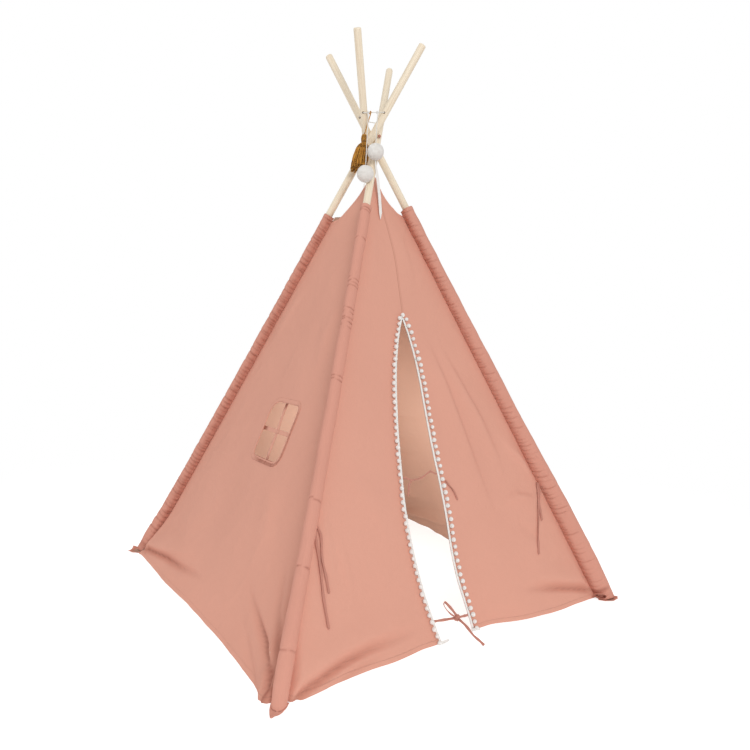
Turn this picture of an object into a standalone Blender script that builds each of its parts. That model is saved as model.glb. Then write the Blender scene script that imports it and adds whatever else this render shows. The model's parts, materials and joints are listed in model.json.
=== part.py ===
"""Kids teepee: four crossed wooden poles in cloth pockets, four cloth walls, a slit door with
pompom trim, a window, and a pair of felt balls and a tassel on the cord that ties the poles.

The door faces -Y and the floor is z = 0. Corners and walls are numbered anticlockwise from above:
corner 0 is front left, and wall 0 runs from corner 0 to corner 1.
"""

import math

import bmesh
import bpy
from mathutils import Matrix, Vector
from mathutils.bvhtree import BVHTree

# Frame of poles, in metres
BASE = 1.05
CROSSING_HEIGHT = 1.34
POLE_DIAMETER = 0.022
POLE_LENGTH = 1.83
POLE_EDGE = 0.003
CROSSING_CLEARANCE = 0.0008
GAP = 0.0003

# Ferrules that join the pole halves
FERRULE_LENGTH = 0.08
FERRULE_WALL = 0.001
FERRULE_STOP = 0.0016
FERRULE_STOP_BORE = 0.012

# Tie cord and the holes that it passes through
HOLE_HEIGHT = 1.414
HOLE_DIAMETER = 0.0055
TIE_CORD_DIAMETER = 0.0036
TIE_CORD_STANDOFF = 0.0024
TIE_CORD_BEND = 0.003

# Cloth
CLOTH = 0.001
HEM_HEIGHT = 0.0008
SLEEVE_LENGTH = 1.293
SLEEVE_OUTER_DEPTH = 0.0175
SLEEVE_HALF_WIDTH = 0.0155
SEAM_DEPTH = 0.019
SEAM_THICKNESS = 0.003
GATHER_DEPTH = 0.0008
FOOT_THICKNESS = 0.002
FOOT_REACH = 0.038
FOOT_HEEL = 0.016
FOOT_WIDTH = 0.038
FOOT_TIP_WIDTH = 0.018

# Top edges of the walls, as distances along the poles from the floor
NOTCH_DISTANCE = 1.272
PEAK_DISTANCE = 1.407
PEAK_POWER = 1.65

# Drape of the walls: each wall's hem bows out or in, and soft folds run up from it
HEM_BOW = {"door": -0.028, "right": -0.042, "back": -0.02, "window": 0.022}
FOLD_DEPTH = 0.009
FOLD_COUNT = {"door": 2.5, "right": 3.0, "back": 2.5, "window": 2.0}
CREASE_DEPTH = 0.008
CREASE_WIDTH = 0.045
CREASE_RISE = 0.55
CREASE_LENGTH = 0.5

# Door slit and its two flaps; distances run along the poles, offsets from the wall's middle
DOOR_TOP = 0.928
DOOR_GAPE = 0.112
DOOR_GAPE_POWER = 0.9
DOOR_GAPE_SHARE = 0.74
DOOR_RIGHT_OFFSET = 0.009
DOOR_RIGHT_WAVE = 0.009
FLAP_TOP = 0.8
FLAP_TOP_LEFT = 0.062
FLAP_TOP_RIGHT = 0.03
FLAP_HEM_LEFT = 0.32
FLAP_HEM_RIGHT = 0.27
FLAP_GAP = 0.0006

# Pompom trim
TAPE_WIDTH = 0.006
TRIM_RISE = 0.003
TAPE_THICKNESS = 0.0012
POMPOM_DIAMETER = 0.0118
POMPOM_PITCH = 0.0172
POMPOM_OVERLAP = 0.0015

# Window
WINDOW_WIDTH = 0.15
WINDOW_HEIGHT = 0.163
WINDOW_CORNER = 0.022
WINDOW_OFFSET = 0.047
WINDOW_DISTANCE = 0.553
BINDING_WIDTH = 0.013
BAR_WIDTH = 0.011
BAR_LAP = 0.006

# Felt balls and tassel; each hangs at a sideways offset and a distance from the frame's axis,
# measured across and along the direction that they face, and a drop below the tie cord's holes
FACING_DEG = 235.6
BALL_DIAMETER = 0.049
STRING_DIAMETER = 0.0018
UPPER_BALL = {"across": 0.0135, "out": 0.0735, "drop": 0.125}
LOWER_BALL = {"across": -0.0135, "out": 0.1078, "drop": 0.1975}
TASSEL_HEAD = {"across": -0.0215, "out": 0.0435, "drop": 0.079}
TASSEL_TIP = {"across": -0.018, "out": 0.0035, "drop": 0.097}
TASSEL_LOOP_ACROSS = -0.0065
TASSEL_LOOP_DIAMETER = 0.003
TASSEL_HEAD_DIAMETER = 0.024
TASSEL_HEAD_HEIGHT = 0.024
TASSEL_SKIRT_WIDTH = 0.046
TASSEL_SKIRT_DEPTH = 0.026
TASSEL_LOBES = 7
TASSEL_LOBE_DEPTH = 0.0022
RIBBON_WIDTH = 0.01
RIBBON_THICKNESS = 0.0012
RIBBON_NECK_SHARE = 0.3
RIBBON_SPOTS = ((-0.0105, 1.345, 0.014), (-0.0115, 1.32, 0.008), (-0.0122, 1.29, 0.004), (-0.0132, 1.258, 0.0018))
SHORT_TAIL_LENGTH = 0.018
SHORT_TAIL_WIDTH = 0.004
KNOT_PITCH_SHARE = 1.6
TASSEL_PROFILE = ((0, 0.36), (0.12, 0.6), (0.35, 0.86), (0.6, 1), (0.82, 1), (0.95, 0.88), (1, 0.6))

# Ties
TIE_DIAMETER = 0.005
KNOT_DIAMETER = 0.014
TIE_BACKS = {
    "tie_back_left_long": ((-0.37, 0.374), (-0.379, 0.315), (-0.386, 0.192), (-0.386, 0.131)),
    "tie_back_left_short": ((-0.359, 0.374), (-0.362, 0.33), (-0.372, 0.27), (-0.374, 0.21)),
    "tie_back_right_long": ((0.357, 0.385), (0.347, 0.3), (0.334, 0.23), (0.317, 0.175)),
    "tie_back_right_short": ((0.3675, 0.38), (0.364, 0.32), (0.358, 0.262)),
}

# Free strands by offset from the slit's middle, distance up the wall and lift off its face
MIDDLE_TIE_OUTER = ((0.033, 0.432), (0.042, 0.42), (0.055, 0.401), (0.064, 0.372))
MIDDLE_TIE_INNER = ((-0.014, 0.463, 0.002), (-0.044, 0.449, 0.001), (-0.081, 0.446, 0.003))
MIDDLE_TIE_LEFT = ((-0.09, 0.44, 0.005), (-0.09, 0.42, 0.007), (-0.093, 0.4, 0.007))
MIDDLE_TIE_RISE = 0.455
BOW_RISE = 0.07
BOW_KNOT = (-0.029, 0.067, 0.004)
BOW_STRANDS = {
    "bow_left": ((-0.04, 0.068, 0.003), (-0.06, 0.069, 0.002)),
    "bow_right": ((-0.02, 0.067, 0.003), (-0.012, 0.0675, 0.002)),
    "bow_loop": ((-0.033, 0.077, 0.007), (-0.05, 0.106, 0.014), (-0.063, 0.117, 0.016), (-0.061, 0.1, 0.018), (-0.037, 0.074, 0.009)),
    "bow_tail": ((-0.026, 0.06, 0.01), (-0.014, 0.042, 0.018), (0.004, 0.022, 0.025), (0.026, 0.008, 0.036), (0.04, 0.004, 0.045)),
}

# Counts
ROUND_SIDES = 16
SLEEVE_RINGS = 15
WALL_COLUMNS = 14
WALL_ROWS = 13
STRIP_COLUMNS = 5
WINDOW_SIDE_STEPS = 5
FLAP_COLUMNS = 4

UP = Vector((0, 0, 1))
CORNERS = ("front_left", "front_right", "back_right", "back_left")
WALLS = ("door", "right", "back", "window")
QUARTER = math.pi / 2

COLOURS = {
    "cloth": (0.74, 0.39, 0.31),
    "wood": (0.76, 0.62, 0.44),
    "metal": (0.7, 0.7, 0.72),
    "felt": (0.86, 0.84, 0.8),
    "trim": (0.9, 0.88, 0.84),
    "yarn": (0.55, 0.29, 0.06),
    "string": (0.88, 0.86, 0.8),
}
ROUGHNESS = {"cloth": 0.9, "wood": 0.55, "metal": 0.3, "felt": 0.95, "trim": 0.95, "yarn": 0.9, "string": 0.8}


def clear_scene():
    for item in list(bpy.data.objects):
        bpy.data.objects.remove(item, do_unlink=True)


def material(name, kind):
    made = bpy.data.materials.new(name)
    made.use_nodes = True
    shader = made.node_tree.nodes["Principled BSDF"]
    shader.inputs["Base Color"].default_value = (*COLOURS[kind], 1)
    shader.inputs["Roughness"].default_value = ROUGHNESS[kind]
    shader.inputs["Metallic"].default_value = 1 if kind == "metal" else 0
    return made


def pivot(name, place):
    """An empty on a joint's axis, which the pieces that turn there are parented to."""
    empty = bpy.data.objects.new(name, None)
    empty.location = place
    bpy.context.collection.objects.link(empty)
    return empty


def add_object(name, shape, kind, parent=None):
    """Turns a bmesh in row coordinates into an object whose origin is its parent's place."""
    bmesh.ops.recalc_face_normals(shape, faces=shape.faces)
    place = parent.location.copy() if parent else Vector((0, 0, 0))
    bmesh.ops.translate(shape, verts=shape.verts, vec=-place)
    mesh = bpy.data.meshes.new(name)
    shape.to_mesh(mesh)
    shape.free()
    mesh.materials.append(material(name, kind))
    item = bpy.data.objects.new(name, mesh)
    bpy.context.collection.objects.link(item)
    if parent:
        item.parent = parent
    return item


def smooth(item, angle_deg=40):
    item.data.shade_smooth()
    item.data.set_sharp_from_angle(angle=math.radians(angle_deg))


def loft(shape, rings, capped=True, looped=False):
    """Joins rings of points into a skin in the bmesh, with end caps unless it is open or looped."""
    rows = [[shape.verts.new(point) for point in ring] for ring in rings]
    sides = len(rows[0])
    pairs = list(zip(rows, rows[1:]))
    if looped:
        pairs.append((rows[-1], rows[0]))
    for lower, upper in pairs:
        for k in range(sides):
            n = (k + 1) % sides
            shape.faces.new((lower[k], lower[n], upper[n], upper[k]))
    if capped and not looped:
        shape.faces.new(list(reversed(rows[0])))
        shape.faces.new(rows[-1])


def subtract(item, cutter_shape, name):
    """Cuts the item by a hidden solid with an exact boolean."""
    cutter = add_object(name, cutter_shape, "cloth")
    cutter.hide_render = True
    cutter.display_type = "WIRE"
    cut = item.modifiers.new(name, "BOOLEAN")
    cut.operation = "DIFFERENCE"
    cut.solver = "EXACT"
    cut.object = cutter


def smooth_route(points, steps):
    """Points on a smooth curve through the given ones, with steps between each pair."""
    ends = [points[0] * 2 - points[1], *points, points[-1] * 2 - points[-2]]
    route = []
    for a, b, c, d in zip(ends, ends[1:], ends[2:], ends[3:]):
        for k in range(steps):
            s = k / steps
            route.append(
                (b * 2 + (c - a) * s + (a * 2 - b * 5 + c * 4 - d) * s**2 + (b * 3 - a - c * 3 + d) * s**3) / 2
            )
    route.append(points[-1].copy())
    return route


def add_tube(name, route, diameter, kind, parent=None, sides_resolution=2, cyclic=False):
    """A round tube along a route: a POLY curve with a bevel and filled caps."""
    place = parent.location.copy() if parent else Vector((0, 0, 0))
    curve = bpy.data.curves.new(name, "CURVE")
    curve.dimensions = "3D"
    curve.bevel_depth = diameter / 2
    curve.bevel_resolution = sides_resolution
    curve.use_fill_caps = not cyclic
    spline = curve.splines.new("POLY")
    spline.points.add(len(route) - 1)
    for point, target in zip(spline.points, route):
        point.co = (*(target - place), 1)
    spline.use_cyclic_u = cyclic
    curve.materials.append(material(name, kind))
    item = bpy.data.objects.new(name, curve)
    bpy.context.collection.objects.link(item)
    if parent:
        item.parent = parent
    return item


class Pole:
    """One pole's line, from its foot on the floor through its place in the crossing."""

    def __init__(self, corner):
        angle = math.radians(225) + QUARTER * corner
        self.outward = Vector((math.cos(angle), math.sin(angle), 0))
        self.sideways = Vector((-math.sin(angle), math.cos(angle), 0))
        lean = math.atan2(BASE / math.sqrt(2), CROSSING_HEIGHT)
        spread = math.sqrt(1 + math.cos(lean) ** 2) / (2 * math.cos(lean))
        offset = (POLE_DIAMETER + CROSSING_CLEARANCE) * spread
        self.foot = self.outward * BASE / math.sqrt(2)
        self.crossing = self.sideways * offset + UP * CROSSING_HEIGHT
        self.axis = (self.crossing - self.foot).normalized()
        self.out = (self.outward - self.axis * self.outward.dot(self.axis)).normalized()
        self.side = self.axis.cross(self.out)

    def point(self, along, out=0, side=0):
        return self.foot + self.axis * along + self.out * out + self.side * side

    def at_height(self, height, out=0, side=0):
        """The distance along the pole at which a point beside its axis has this height."""
        return (height - out * self.out.z - side * self.side.z) / self.axis.z

    def ring(self, along, radius):
        turns = [2 * math.pi * k / ROUND_SIDES for k in range(ROUND_SIDES)]
        return [self.point(along, radius * math.cos(a), radius * math.sin(a)) for a in turns]


POLES = [Pole(corner) for corner in range(len(CORNERS))]
POLE_RADIUS = POLE_DIAMETER / 2
POLE_START = POLES[0].at_height(FOOT_THICKNESS + GAP, -(POLE_RADIUS - POLE_EDGE))
POLE_MIDDLE = POLE_START + POLE_LENGTH / 2


def pole_half(pole, start, end, rounded):
    """A turned half pole; the rounded end is softened like a broom handle's."""
    rings = [pole.ring(start, POLE_RADIUS - POLE_EDGE / 2), pole.ring(start + POLE_EDGE / 2, POLE_RADIUS)]
    rings += [pole.ring(end - POLE_EDGE / 2, POLE_RADIUS), pole.ring(end, POLE_RADIUS - POLE_EDGE / 2)]
    if rounded == "start":
        rings[0:2] = [pole.ring(start, POLE_RADIUS - POLE_EDGE), pole.ring(start + POLE_EDGE, POLE_RADIUS)]
    if rounded == "end":
        rings[2:4] = [
            pole.ring(end - POLE_EDGE * (1 - math.cos(a)) / (1 - math.cos(QUARTER)), POLE_RADIUS - POLE_EDGE * (1 - math.sin(a)))
            for a in (QUARTER, QUARTER / 2, 0)
        ]
    shape = bmesh.new()
    loft(shape, rings)
    return shape


def make_pole(corner, parent):
    pole = POLES[corner]
    name = CORNERS[corner]
    half_stop = FERRULE_STOP / 2 + GAP
    lower = add_object(
        f"pole_lower_{name}", pole_half(pole, POLE_START, POLE_MIDDLE - half_stop, "start"), "wood", parent
    )
    upper = add_object(
        f"pole_upper_{name}",
        pole_half(pole, POLE_MIDDLE + half_stop, POLE_START + POLE_LENGTH, "end"),
        "wood",
        parent,
    )
    hole = bmesh.new()
    middle = hole_middle(corner)
    reach = hole_direction(corner) * POLE_DIAMETER
    loft(hole, round_rings([middle - reach, middle + reach], HOLE_DIAMETER / 2, ROUND_SIDES))
    subtract(upper, hole, f"tie_hole_{name}")
    smooth(lower)
    smooth(upper)
    make_ferrule(pole, name, parent)


def make_ferrule(pole, name, parent):
    """A metal tube over both pole ends, with a ring inside that they stop against."""
    inner = POLE_RADIUS + GAP
    outer = inner + FERRULE_WALL
    half = FERRULE_LENGTH / 2
    stop = FERRULE_STOP / 2
    profile = [
        (outer, -half),
        (outer, half),
        (inner, half),
        (inner, stop),
        (FERRULE_STOP_BORE / 2, stop),
        (FERRULE_STOP_BORE / 2, -stop),
        (inner, -stop),
        (inner, -half),
    ]
    turns = [2 * math.pi * k / ROUND_SIDES for k in range(ROUND_SIDES)]
    rings = [
        [pole.point(POLE_MIDDLE + z, r * math.cos(a), r * math.sin(a)) for r, z in profile] for a in turns
    ]
    shape = bmesh.new()
    loft(shape, rings, looped=True)
    smooth(add_object(f"ferrule_{name}", shape, "metal", parent))


def round_rings(route, radius, sides):
    """Rings square to a short route, for lofting."""
    rings = []
    for k, place in enumerate(route):
        before = route[max(k - 1, 0)]
        after = route[min(k + 1, len(route) - 1)]
        turn = (after - before).to_track_quat("Z", "Y").to_matrix()
        rings.append(
            [
                place
                + turn @ Vector((radius * math.cos(2 * math.pi * n / sides), radius * math.sin(2 * math.pi * n / sides), 0))
                for n in range(sides)
            ]
        )
    return rings


def hole_direction(corner):
    """All four holes run front left to back right, each square to its pole."""
    through = POLES[0].outward
    axis = POLES[corner].axis
    return (through - axis * through.dot(axis)).normalized()


def hole_middle(corner):
    pole = POLES[corner]
    return pole.point(pole.at_height(HOLE_HEIGHT))


def sleeve_outline(offset):
    """The pocket's almond section as (out, side) pairs, offset inwards for its bore."""
    outer_depth = SLEEVE_OUTER_DEPTH - offset
    half_width = SLEEVE_HALF_WIDTH - offset
    seam = SEAM_DEPTH - offset * 3
    seam_half = SEAM_THICKNESS / 2 - (CLOTH / 2 if offset else 0)
    waist_out_share = 0.55
    waist_side_share = 0.78
    upper = [
        (outer_depth, 0),
        (outer_depth * waist_out_share, half_width * waist_side_share),
        (0, half_width),
        (-seam * waist_out_share, half_width * waist_side_share),
        (-seam, seam_half),
    ]
    return upper + [(out, -side) for out, side in reversed(upper[1:])]


def make_sleeve(corner, parent):
    """The gathered pole pocket: a tube of cloth, cut level at the floor and open at its top."""
    pole = POLES[corner]
    shape = bmesh.new()
    floor = FOOT_THICKNESS + GAP
    skins = []
    for offset in (0, CLOTH):
        rings = []
        for row in range(SLEEVE_RINGS):
            share = row / (SLEEVE_RINGS - 1)
            gather = 1 + GATHER_DEPTH / SLEEVE_HALF_WIDTH * (1 if row % 2 else -1)
            ring = []
            for out, side in sleeve_outline(offset):
                out, side = out * (gather if out > 0 else 1), side * gather
                start = pole.at_height(floor, out, side)
                ring.append(pole.point(start + (SLEEVE_LENGTH - start) * share, out, side))
            rings.append(ring)
        skins.append([[shape.verts.new(point) for point in ring] for ring in rings])
    outer, inner = skins
    sides = len(outer[0])
    for row in range(SLEEVE_RINGS - 1):
        for k in range(sides):
            n = (k + 1) % sides
            shape.faces.new((outer[row][k], outer[row][n], outer[row + 1][n], outer[row + 1][k]))
            shape.faces.new((inner[row][n], inner[row][k], inner[row + 1][k], inner[row + 1][n]))
    for k in range(sides):
        n = (k + 1) % sides
        shape.faces.new((outer[0][n], outer[0][k], inner[0][k], inner[0][n]))
        shape.faces.new((outer[-1][k], outer[-1][n], inner[-1][n], inner[-1][k]))
    smooth(add_object(f"sleeve_{CORNERS[corner]}", shape, "cloth", parent), 60)


def make_foot_flap(corner, parent):
    """The pocket's closing flap: a flat tongue under the pole's foot that runs out along the floor."""
    pole = POLES[corner]
    outline = [(-FOOT_HEEL, FOOT_WIDTH / 2), (-FOOT_HEEL, -FOOT_WIDTH / 2), (0, -FOOT_WIDTH / 2)]
    tip_turns = [-QUARTER + QUARTER * k / 2 for k in range(5)]
    tip_radius = FOOT_TIP_WIDTH / 2
    outline += [
        (FOOT_REACH - tip_radius + tip_radius * math.cos(a), tip_radius * math.sin(a)) for a in tip_turns
    ]
    outline.append((0, FOOT_WIDTH / 2))
    shape = bmesh.new()
    rings = [
        [pole.foot + pole.outward * out + pole.sideways * side + UP * height for out, side in outline]
        for height in (0, FOOT_THICKNESS)
    ]
    loft(shape, rings)
    add_object(f"foot_flap_{CORNERS[corner]}", shape, "cloth", parent)


def seam_edge(corner, along, direction):
    """Where a wall's outer face starts beside a pocket's seam; direction is 1 or -1."""
    return POLES[corner].point(along, -SEAM_DEPTH, direction * (SEAM_THICKNESS / 2 + GAP))


HEM = POLES[0].at_height(HEM_HEIGHT, -SEAM_DEPTH)
CROSSING_DISTANCE = (POLES[0].crossing - POLES[0].foot).length


def wall_width(wall, along):
    return (seam_edge((wall + 1) % 4, along, -1) - seam_edge(wall, along, 1)).length


def facing(wall):
    """The level direction that a wall faces."""
    angle = -QUARTER + QUARTER * wall
    return Vector((round(math.cos(angle)), round(math.sin(angle)), 0))


def drape(wall, across, along):
    """How far the cloth stands out from the flat wall: hem bow, soft folds and corner creases."""
    name = WALLS[wall]
    rise = (along - HEM) / (CROSSING_DISTANCE - HEM)
    low = (1 - rise) ** 2
    middle = math.sin(math.pi * across)
    flat = 1
    if name == "door":
        flat = door_flatness(wall, across, along)
    if name == "window":
        flat = window_flatness(across, along)
    bow = HEM_BOW[name] * middle * (1 - rise) ** 3
    folds = FOLD_DEPTH * math.sin(2 * math.pi * FOLD_COUNT[name] * across) * middle * low
    crease = 0
    for side_across in (across, 1 - across):
        level = rise - CREASE_RISE * side_across
        reach = max(0, 1 - side_across / CREASE_LENGTH)
        crease += CREASE_DEPTH * math.exp(-((level / CREASE_WIDTH) ** 2)) * reach * math.sin(math.pi * reach)
    return bow + (folds + crease) * flat


def smooth_step(share):
    share = min(max(share, 0), 1)
    return share * share * (3 - 2 * share)


def door_flatness(wall, across, along):
    """Keeps the cloth plain from one flap's fold line to the other, so that both can turn."""
    offset = (across - 0.5) * wall_width(wall, along)
    left, right = fold_offsets(along)
    ease = wall_width(wall, along) / 2 - max(-left, right)
    beyond = max(left - offset, offset - right, 0)
    return smooth_step(beyond / max(ease, CLOTH))


def window_flatness(across, along):
    """Keeps the cloth plain around the window, where the binding is sewn on."""
    offset = abs((across - 0.5) * wall_width(3, along) - WINDOW_OFFSET)
    rise = abs(along - WINDOW_DISTANCE)
    reach = WINDOW_WIDTH / 2 + BINDING_WIDTH
    return smooth_step(max(offset - reach, rise - reach, 0) / reach)


def fold_offsets(along):
    """Offsets from the wall's middle of the two lines that the flaps turn about."""
    share = (FLAP_TOP - along) / (FLAP_TOP - HEM)
    left = -FLAP_TOP_LEFT - (FLAP_HEM_LEFT - FLAP_TOP_LEFT) * share
    right = FLAP_TOP_RIGHT + (FLAP_HEM_RIGHT - FLAP_TOP_RIGHT) * share
    return left, right


def slit_offsets(along):
    """Offsets from the wall's middle of the slit's left and right edges."""
    share = min(max((DOOR_TOP - along) / (DOOR_TOP - HEM), 0), 1)
    left = -DOOR_GAPE * math.sin(math.pi * DOOR_GAPE_SHARE * share**DOOR_GAPE_POWER)
    settle_share = 0.06
    wave_share = 0.42
    right = DOOR_RIGHT_OFFSET * (1 - math.exp(-share / settle_share))
    right += DOOR_RIGHT_WAVE * math.cos(2 * math.pi * (share - 1) / wave_share) * share**2
    return left, right


def wall_point(wall, across, along, lift=0):
    """A point on a wall's outer face; across runs 0 to 1 from its left seam, seen from outside."""
    left = seam_edge(wall, along, 1)
    right = seam_edge((wall + 1) % 4, along, -1)
    place = left.lerp(right, across) + facing(wall) * drape(wall, across, along)
    return place + wall_normal(wall) * lift


def wall_normal(wall):
    lean = math.atan2(BASE / 2, CROSSING_HEIGHT)
    return facing(wall) * math.cos(lean) + UP * math.sin(lean)


def offset_point(wall, offset, along, lift=0):
    """A point on a wall by its real offset from the wall's middle line."""
    return wall_point(wall, 0.5 + offset / wall_width(wall, along), along, lift)


def top_distance(across):
    """Where the top edge is: notches beside the pockets and a peak in the middle."""
    return NOTCH_DISTANCE + (PEAK_DISTANCE - NOTCH_DISTANCE) * (1 - abs(2 * across - 1)) ** PEAK_POWER


def row_share(row, rows):
    """Spaces rows closer together near the hem, where the folds are."""
    crowding = 1.15
    return (row / rows) ** crowding


def thicken(item):
    """Gives a sheet its thickness, inwards from its outer face."""
    solid = item.modifiers.new("cloth", "SOLIDIFY")
    solid.thickness = CLOTH
    solid.offset = -1
    solid.use_rim = True


def sheet(name, grid, parent=None, open_cells=()):
    """A cloth panel from rows of points on its outer face; None leaves a place out.

    open_cells holds the (row, column) cells that stay open."""
    shape = bmesh.new()
    made = {}
    for i, row in enumerate(grid):
        for j, point in enumerate(row):
            if point is None:
                continue
            key = tuple(round(value, 7) for value in point)
            if key not in made:
                made[key] = shape.verts.new(point)
            grid[i][j] = made[key]
    for i, (lower, upper) in enumerate(zip(grid, grid[1:])):
        for j, (a, b, c, d) in enumerate(zip(lower, lower[1:], upper[1:], upper)):
            if (i, j) in open_cells:
                continue
            corners = [corner for corner in dict.fromkeys((a, b, c, d)) if corner is not None]
            if None not in (a, b, c, d) and len(corners) > 2:
                shape.faces.new(corners)
    shape.normal_update()
    surface = BVHTree.FromBMesh(shape)
    item = add_sheet_object(name, shape, parent)
    return item, surface


def add_sheet_object(name, shape, parent):
    """Like add_object, but the faces keep the way that they were laid, which is outwards."""
    place = parent.location.copy() if parent else Vector((0, 0, 0))
    bmesh.ops.translate(shape, verts=shape.verts, vec=-place)
    mesh = bpy.data.meshes.new(name)
    shape.to_mesh(mesh)
    shape.free()
    mesh.materials.append(material(name, "cloth"))
    item = bpy.data.objects.new(name, mesh)
    bpy.context.collection.objects.link(item)
    if parent:
        item.parent = parent
    mesh.shade_smooth()
    thicken(item)
    return item


def make_plain_wall(wall):
    grid = []
    for row in range(WALL_ROWS + 1):
        points = []
        for column in range(WALL_COLUMNS + 1):
            across = column / WALL_COLUMNS
            along = HEM + (top_distance(across) - HEM) * row_share(row, WALL_ROWS)
            points.append(wall_point(wall, across, along))
        grid.append(points)
    return sheet(f"{WALLS[wall]}_wall", grid)


def make_door_wall():
    """The door wall without its flaps: two side strips that join above the slit."""
    hem_rows, slit_rows, top_rows = 8, 2, 4
    grid = []
    levels = [HEM + (FLAP_TOP - HEM) * row_share(row, hem_rows) for row in range(hem_rows + 1)]
    for along in levels:
        left, right = fold_offsets(along)
        grid.append(strip_row(along, left - FLAP_GAP / 2, right + FLAP_GAP / 2, None, None))
    fold_left, fold_right = fold_offsets(FLAP_TOP)
    grid[-1] = strip_row(FLAP_TOP, fold_left - FLAP_GAP / 2, fold_right + FLAP_GAP / 2, *slit_offsets(FLAP_TOP))
    for row in range(1, slit_rows + 1):
        along = FLAP_TOP + (DOOR_TOP - FLAP_TOP) * row / slit_rows
        narrowing = wall_width(0, along) / wall_width(0, FLAP_TOP)
        grid.append(strip_row(along, fold_left * narrowing, fold_right * narrowing, *slit_offsets(along)))
    width = wall_width(0, DOOR_TOP)
    narrowing = width / wall_width(0, FLAP_TOP)
    shares = [0.5 + fold_left * narrowing / width, 0.5 + fold_right * narrowing / width]
    for row in range(1, top_rows + 1):
        points = []
        for across in strip_shares(shares[0], shares[1]):
            along = DOOR_TOP + (top_distance(across) - DOOR_TOP) * row / top_rows
            points.append(wall_point(0, across, along))
        grid.append(points)
    slit = [(hem_rows + row, STRIP_COLUMNS + 1) for row in range(slit_rows)]
    return sheet("door_wall", grid, open_cells=slit)


def strip_shares(left, right):
    """Across shares of the columns of a row that runs unbroken from seam to seam."""
    shares = [left * k / STRIP_COLUMNS for k in range(STRIP_COLUMNS + 1)]
    shares += [0.5, 0.5]
    return shares + [right + (1 - right) * k / STRIP_COLUMNS for k in range(STRIP_COLUMNS + 1)]


def strip_row(along, left, right, slit_left, slit_right):
    """One row of the door wall: strip columns, then the slit's edges where there are any."""
    half = wall_width(0, along) / 2
    offsets = [-half + (left + half) * k / STRIP_COLUMNS for k in range(STRIP_COLUMNS + 1)]
    offsets += [slit_left, slit_right]
    offsets += [right + (half - right) * k / STRIP_COLUMNS for k in range(STRIP_COLUMNS + 1)]
    return [None if offset is None else offset_point(0, offset, along) for offset in offsets]


def make_flap(name, side, parent):
    """A door flap, from its fold line to the slit; side is 0 for left and 1 for right."""
    rows = 13
    top = FLAP_TOP - FLAP_GAP
    grid = []
    for row in range(rows + 1):
        along = HEM + (top - HEM) * row_share(row, rows)
        fold = fold_offsets(along)[side] + (FLAP_GAP / 2 if side == 0 else -FLAP_GAP / 2)
        slit = slit_offsets(along)[side]
        first, last = (fold, slit) if side == 0 else (slit, fold)
        grid.append(
            [offset_point(0, first + (last - first) * k / FLAP_COLUMNS, along) for k in range(FLAP_COLUMNS + 1)]
        )
    return sheet(name, grid, parent)


def lifted(surface, wall, offset, along, lift):
    """A point that stands a stated lift off a wall's faceted outer face."""
    aim = offset_point(wall, offset, along)
    normal = wall_normal(wall)
    hit, face_normal, _, _ = surface.ray_cast(aim + normal * BASE, -normal)
    if hit is None:
        return aim + normal * lift
    return hit + normal * lift


def make_trim(name, surfaces, path, parent):
    """Tape along an edge with a row of pompoms on its cloth side, joined into one body.

    path holds (offset, along, cloth side) places of the edge, where cloth side points away from the
    slit in the same two measures."""
    tape = bmesh.new()
    rings = []
    for offset, along, side_offset, side_along in path:
        ring = []
        for reach, lift in ((0, GAP), (1, GAP), (1, GAP + TAPE_THICKNESS), (0, GAP + TAPE_THICKNESS)):
            spot = (offset + side_offset * TAPE_WIDTH * reach, along + side_along * TAPE_WIDTH * reach)
            ring.append(highest(surfaces, spot, lift))
        rings.append(ring)
    loft(tape, rings)
    item = add_object(name, tape, "trim", parent)
    balls = bmesh.new()
    radius = POMPOM_DIAMETER / 2
    for offset, along, side_offset, side_along in spaced(path, POMPOM_PITCH):
        reach = TAPE_WIDTH + POMPOM_OVERLAP
        centre = highest(surfaces, (offset + side_offset * reach, along + side_along * reach), GAP + radius)
        bmesh.ops.create_uvsphere(
            balls, u_segments=6, v_segments=3, radius=radius, matrix=Matrix.Translation(centre) @ slant(0)
        )
    cutter = add_object(f"{name}_pompoms", balls, "trim")
    cutter.hide_render = True
    cutter.display_type = "WIRE"
    union = item.modifiers.new("pompoms", "BOOLEAN")
    union.operation = "UNION"
    union.solver = "EXACT"
    union.object = cutter
    return item


def slant(wall):
    """Turns +Z to a wall's normal."""
    return wall_normal(wall).to_track_quat("Z", "Y").to_matrix().to_4x4()


def highest(surfaces, spot, lift):
    """The lifted point on whichever of the surfaces stands out furthest there."""
    points = [lifted(surface, 0, *spot, lift) for surface in surfaces]
    return max(points, key=lambda point: point.dot(wall_normal(0)))


def spaced(path, pitch):
    """Places along a path at an even pitch, starting half a pitch in."""
    lengths = [0]
    for a, b in zip(path, path[1:]):
        lengths.append(lengths[-1] + math.hypot(b[0] - a[0], b[1] - a[1]))
    count = int(lengths[-1] / pitch)
    places = []
    for k in range(count):
        target = pitch * (k + 0.5) + (lengths[-1] - count * pitch) / 2
        n = next(i for i in range(1, len(path)) if lengths[i] >= target)
        share = (target - lengths[n - 1]) / (lengths[n] - lengths[n - 1])
        places.append([a + (b - a) * share for a, b in zip(path[n - 1], path[n])])
    return places


def edge_path(side, start, end, steps):
    """The slit's edge between two distances, with the level direction of its cloth side."""
    direction = -1 if side == 0 else 1
    path = []
    for k in range(steps + 1):
        along = start + (end - start) * k / steps
        path.append([slit_offsets(along)[side], along, direction, 0])
    return path


def top_path():
    """Up the slit's left edge, round its top and down the right edge."""
    steps = 5
    up = edge_path(0, FLAP_TOP + GAP, DOOR_TOP, steps)
    down = edge_path(1, DOOR_TOP, FLAP_TOP + GAP, steps)
    turn = [[0, DOOR_TOP, -math.cos(a), math.sin(a)] for a in (QUARTER / 2, QUARTER, QUARTER * 3 / 2)]
    return up[:-1] + turn + down[1:]


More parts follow.
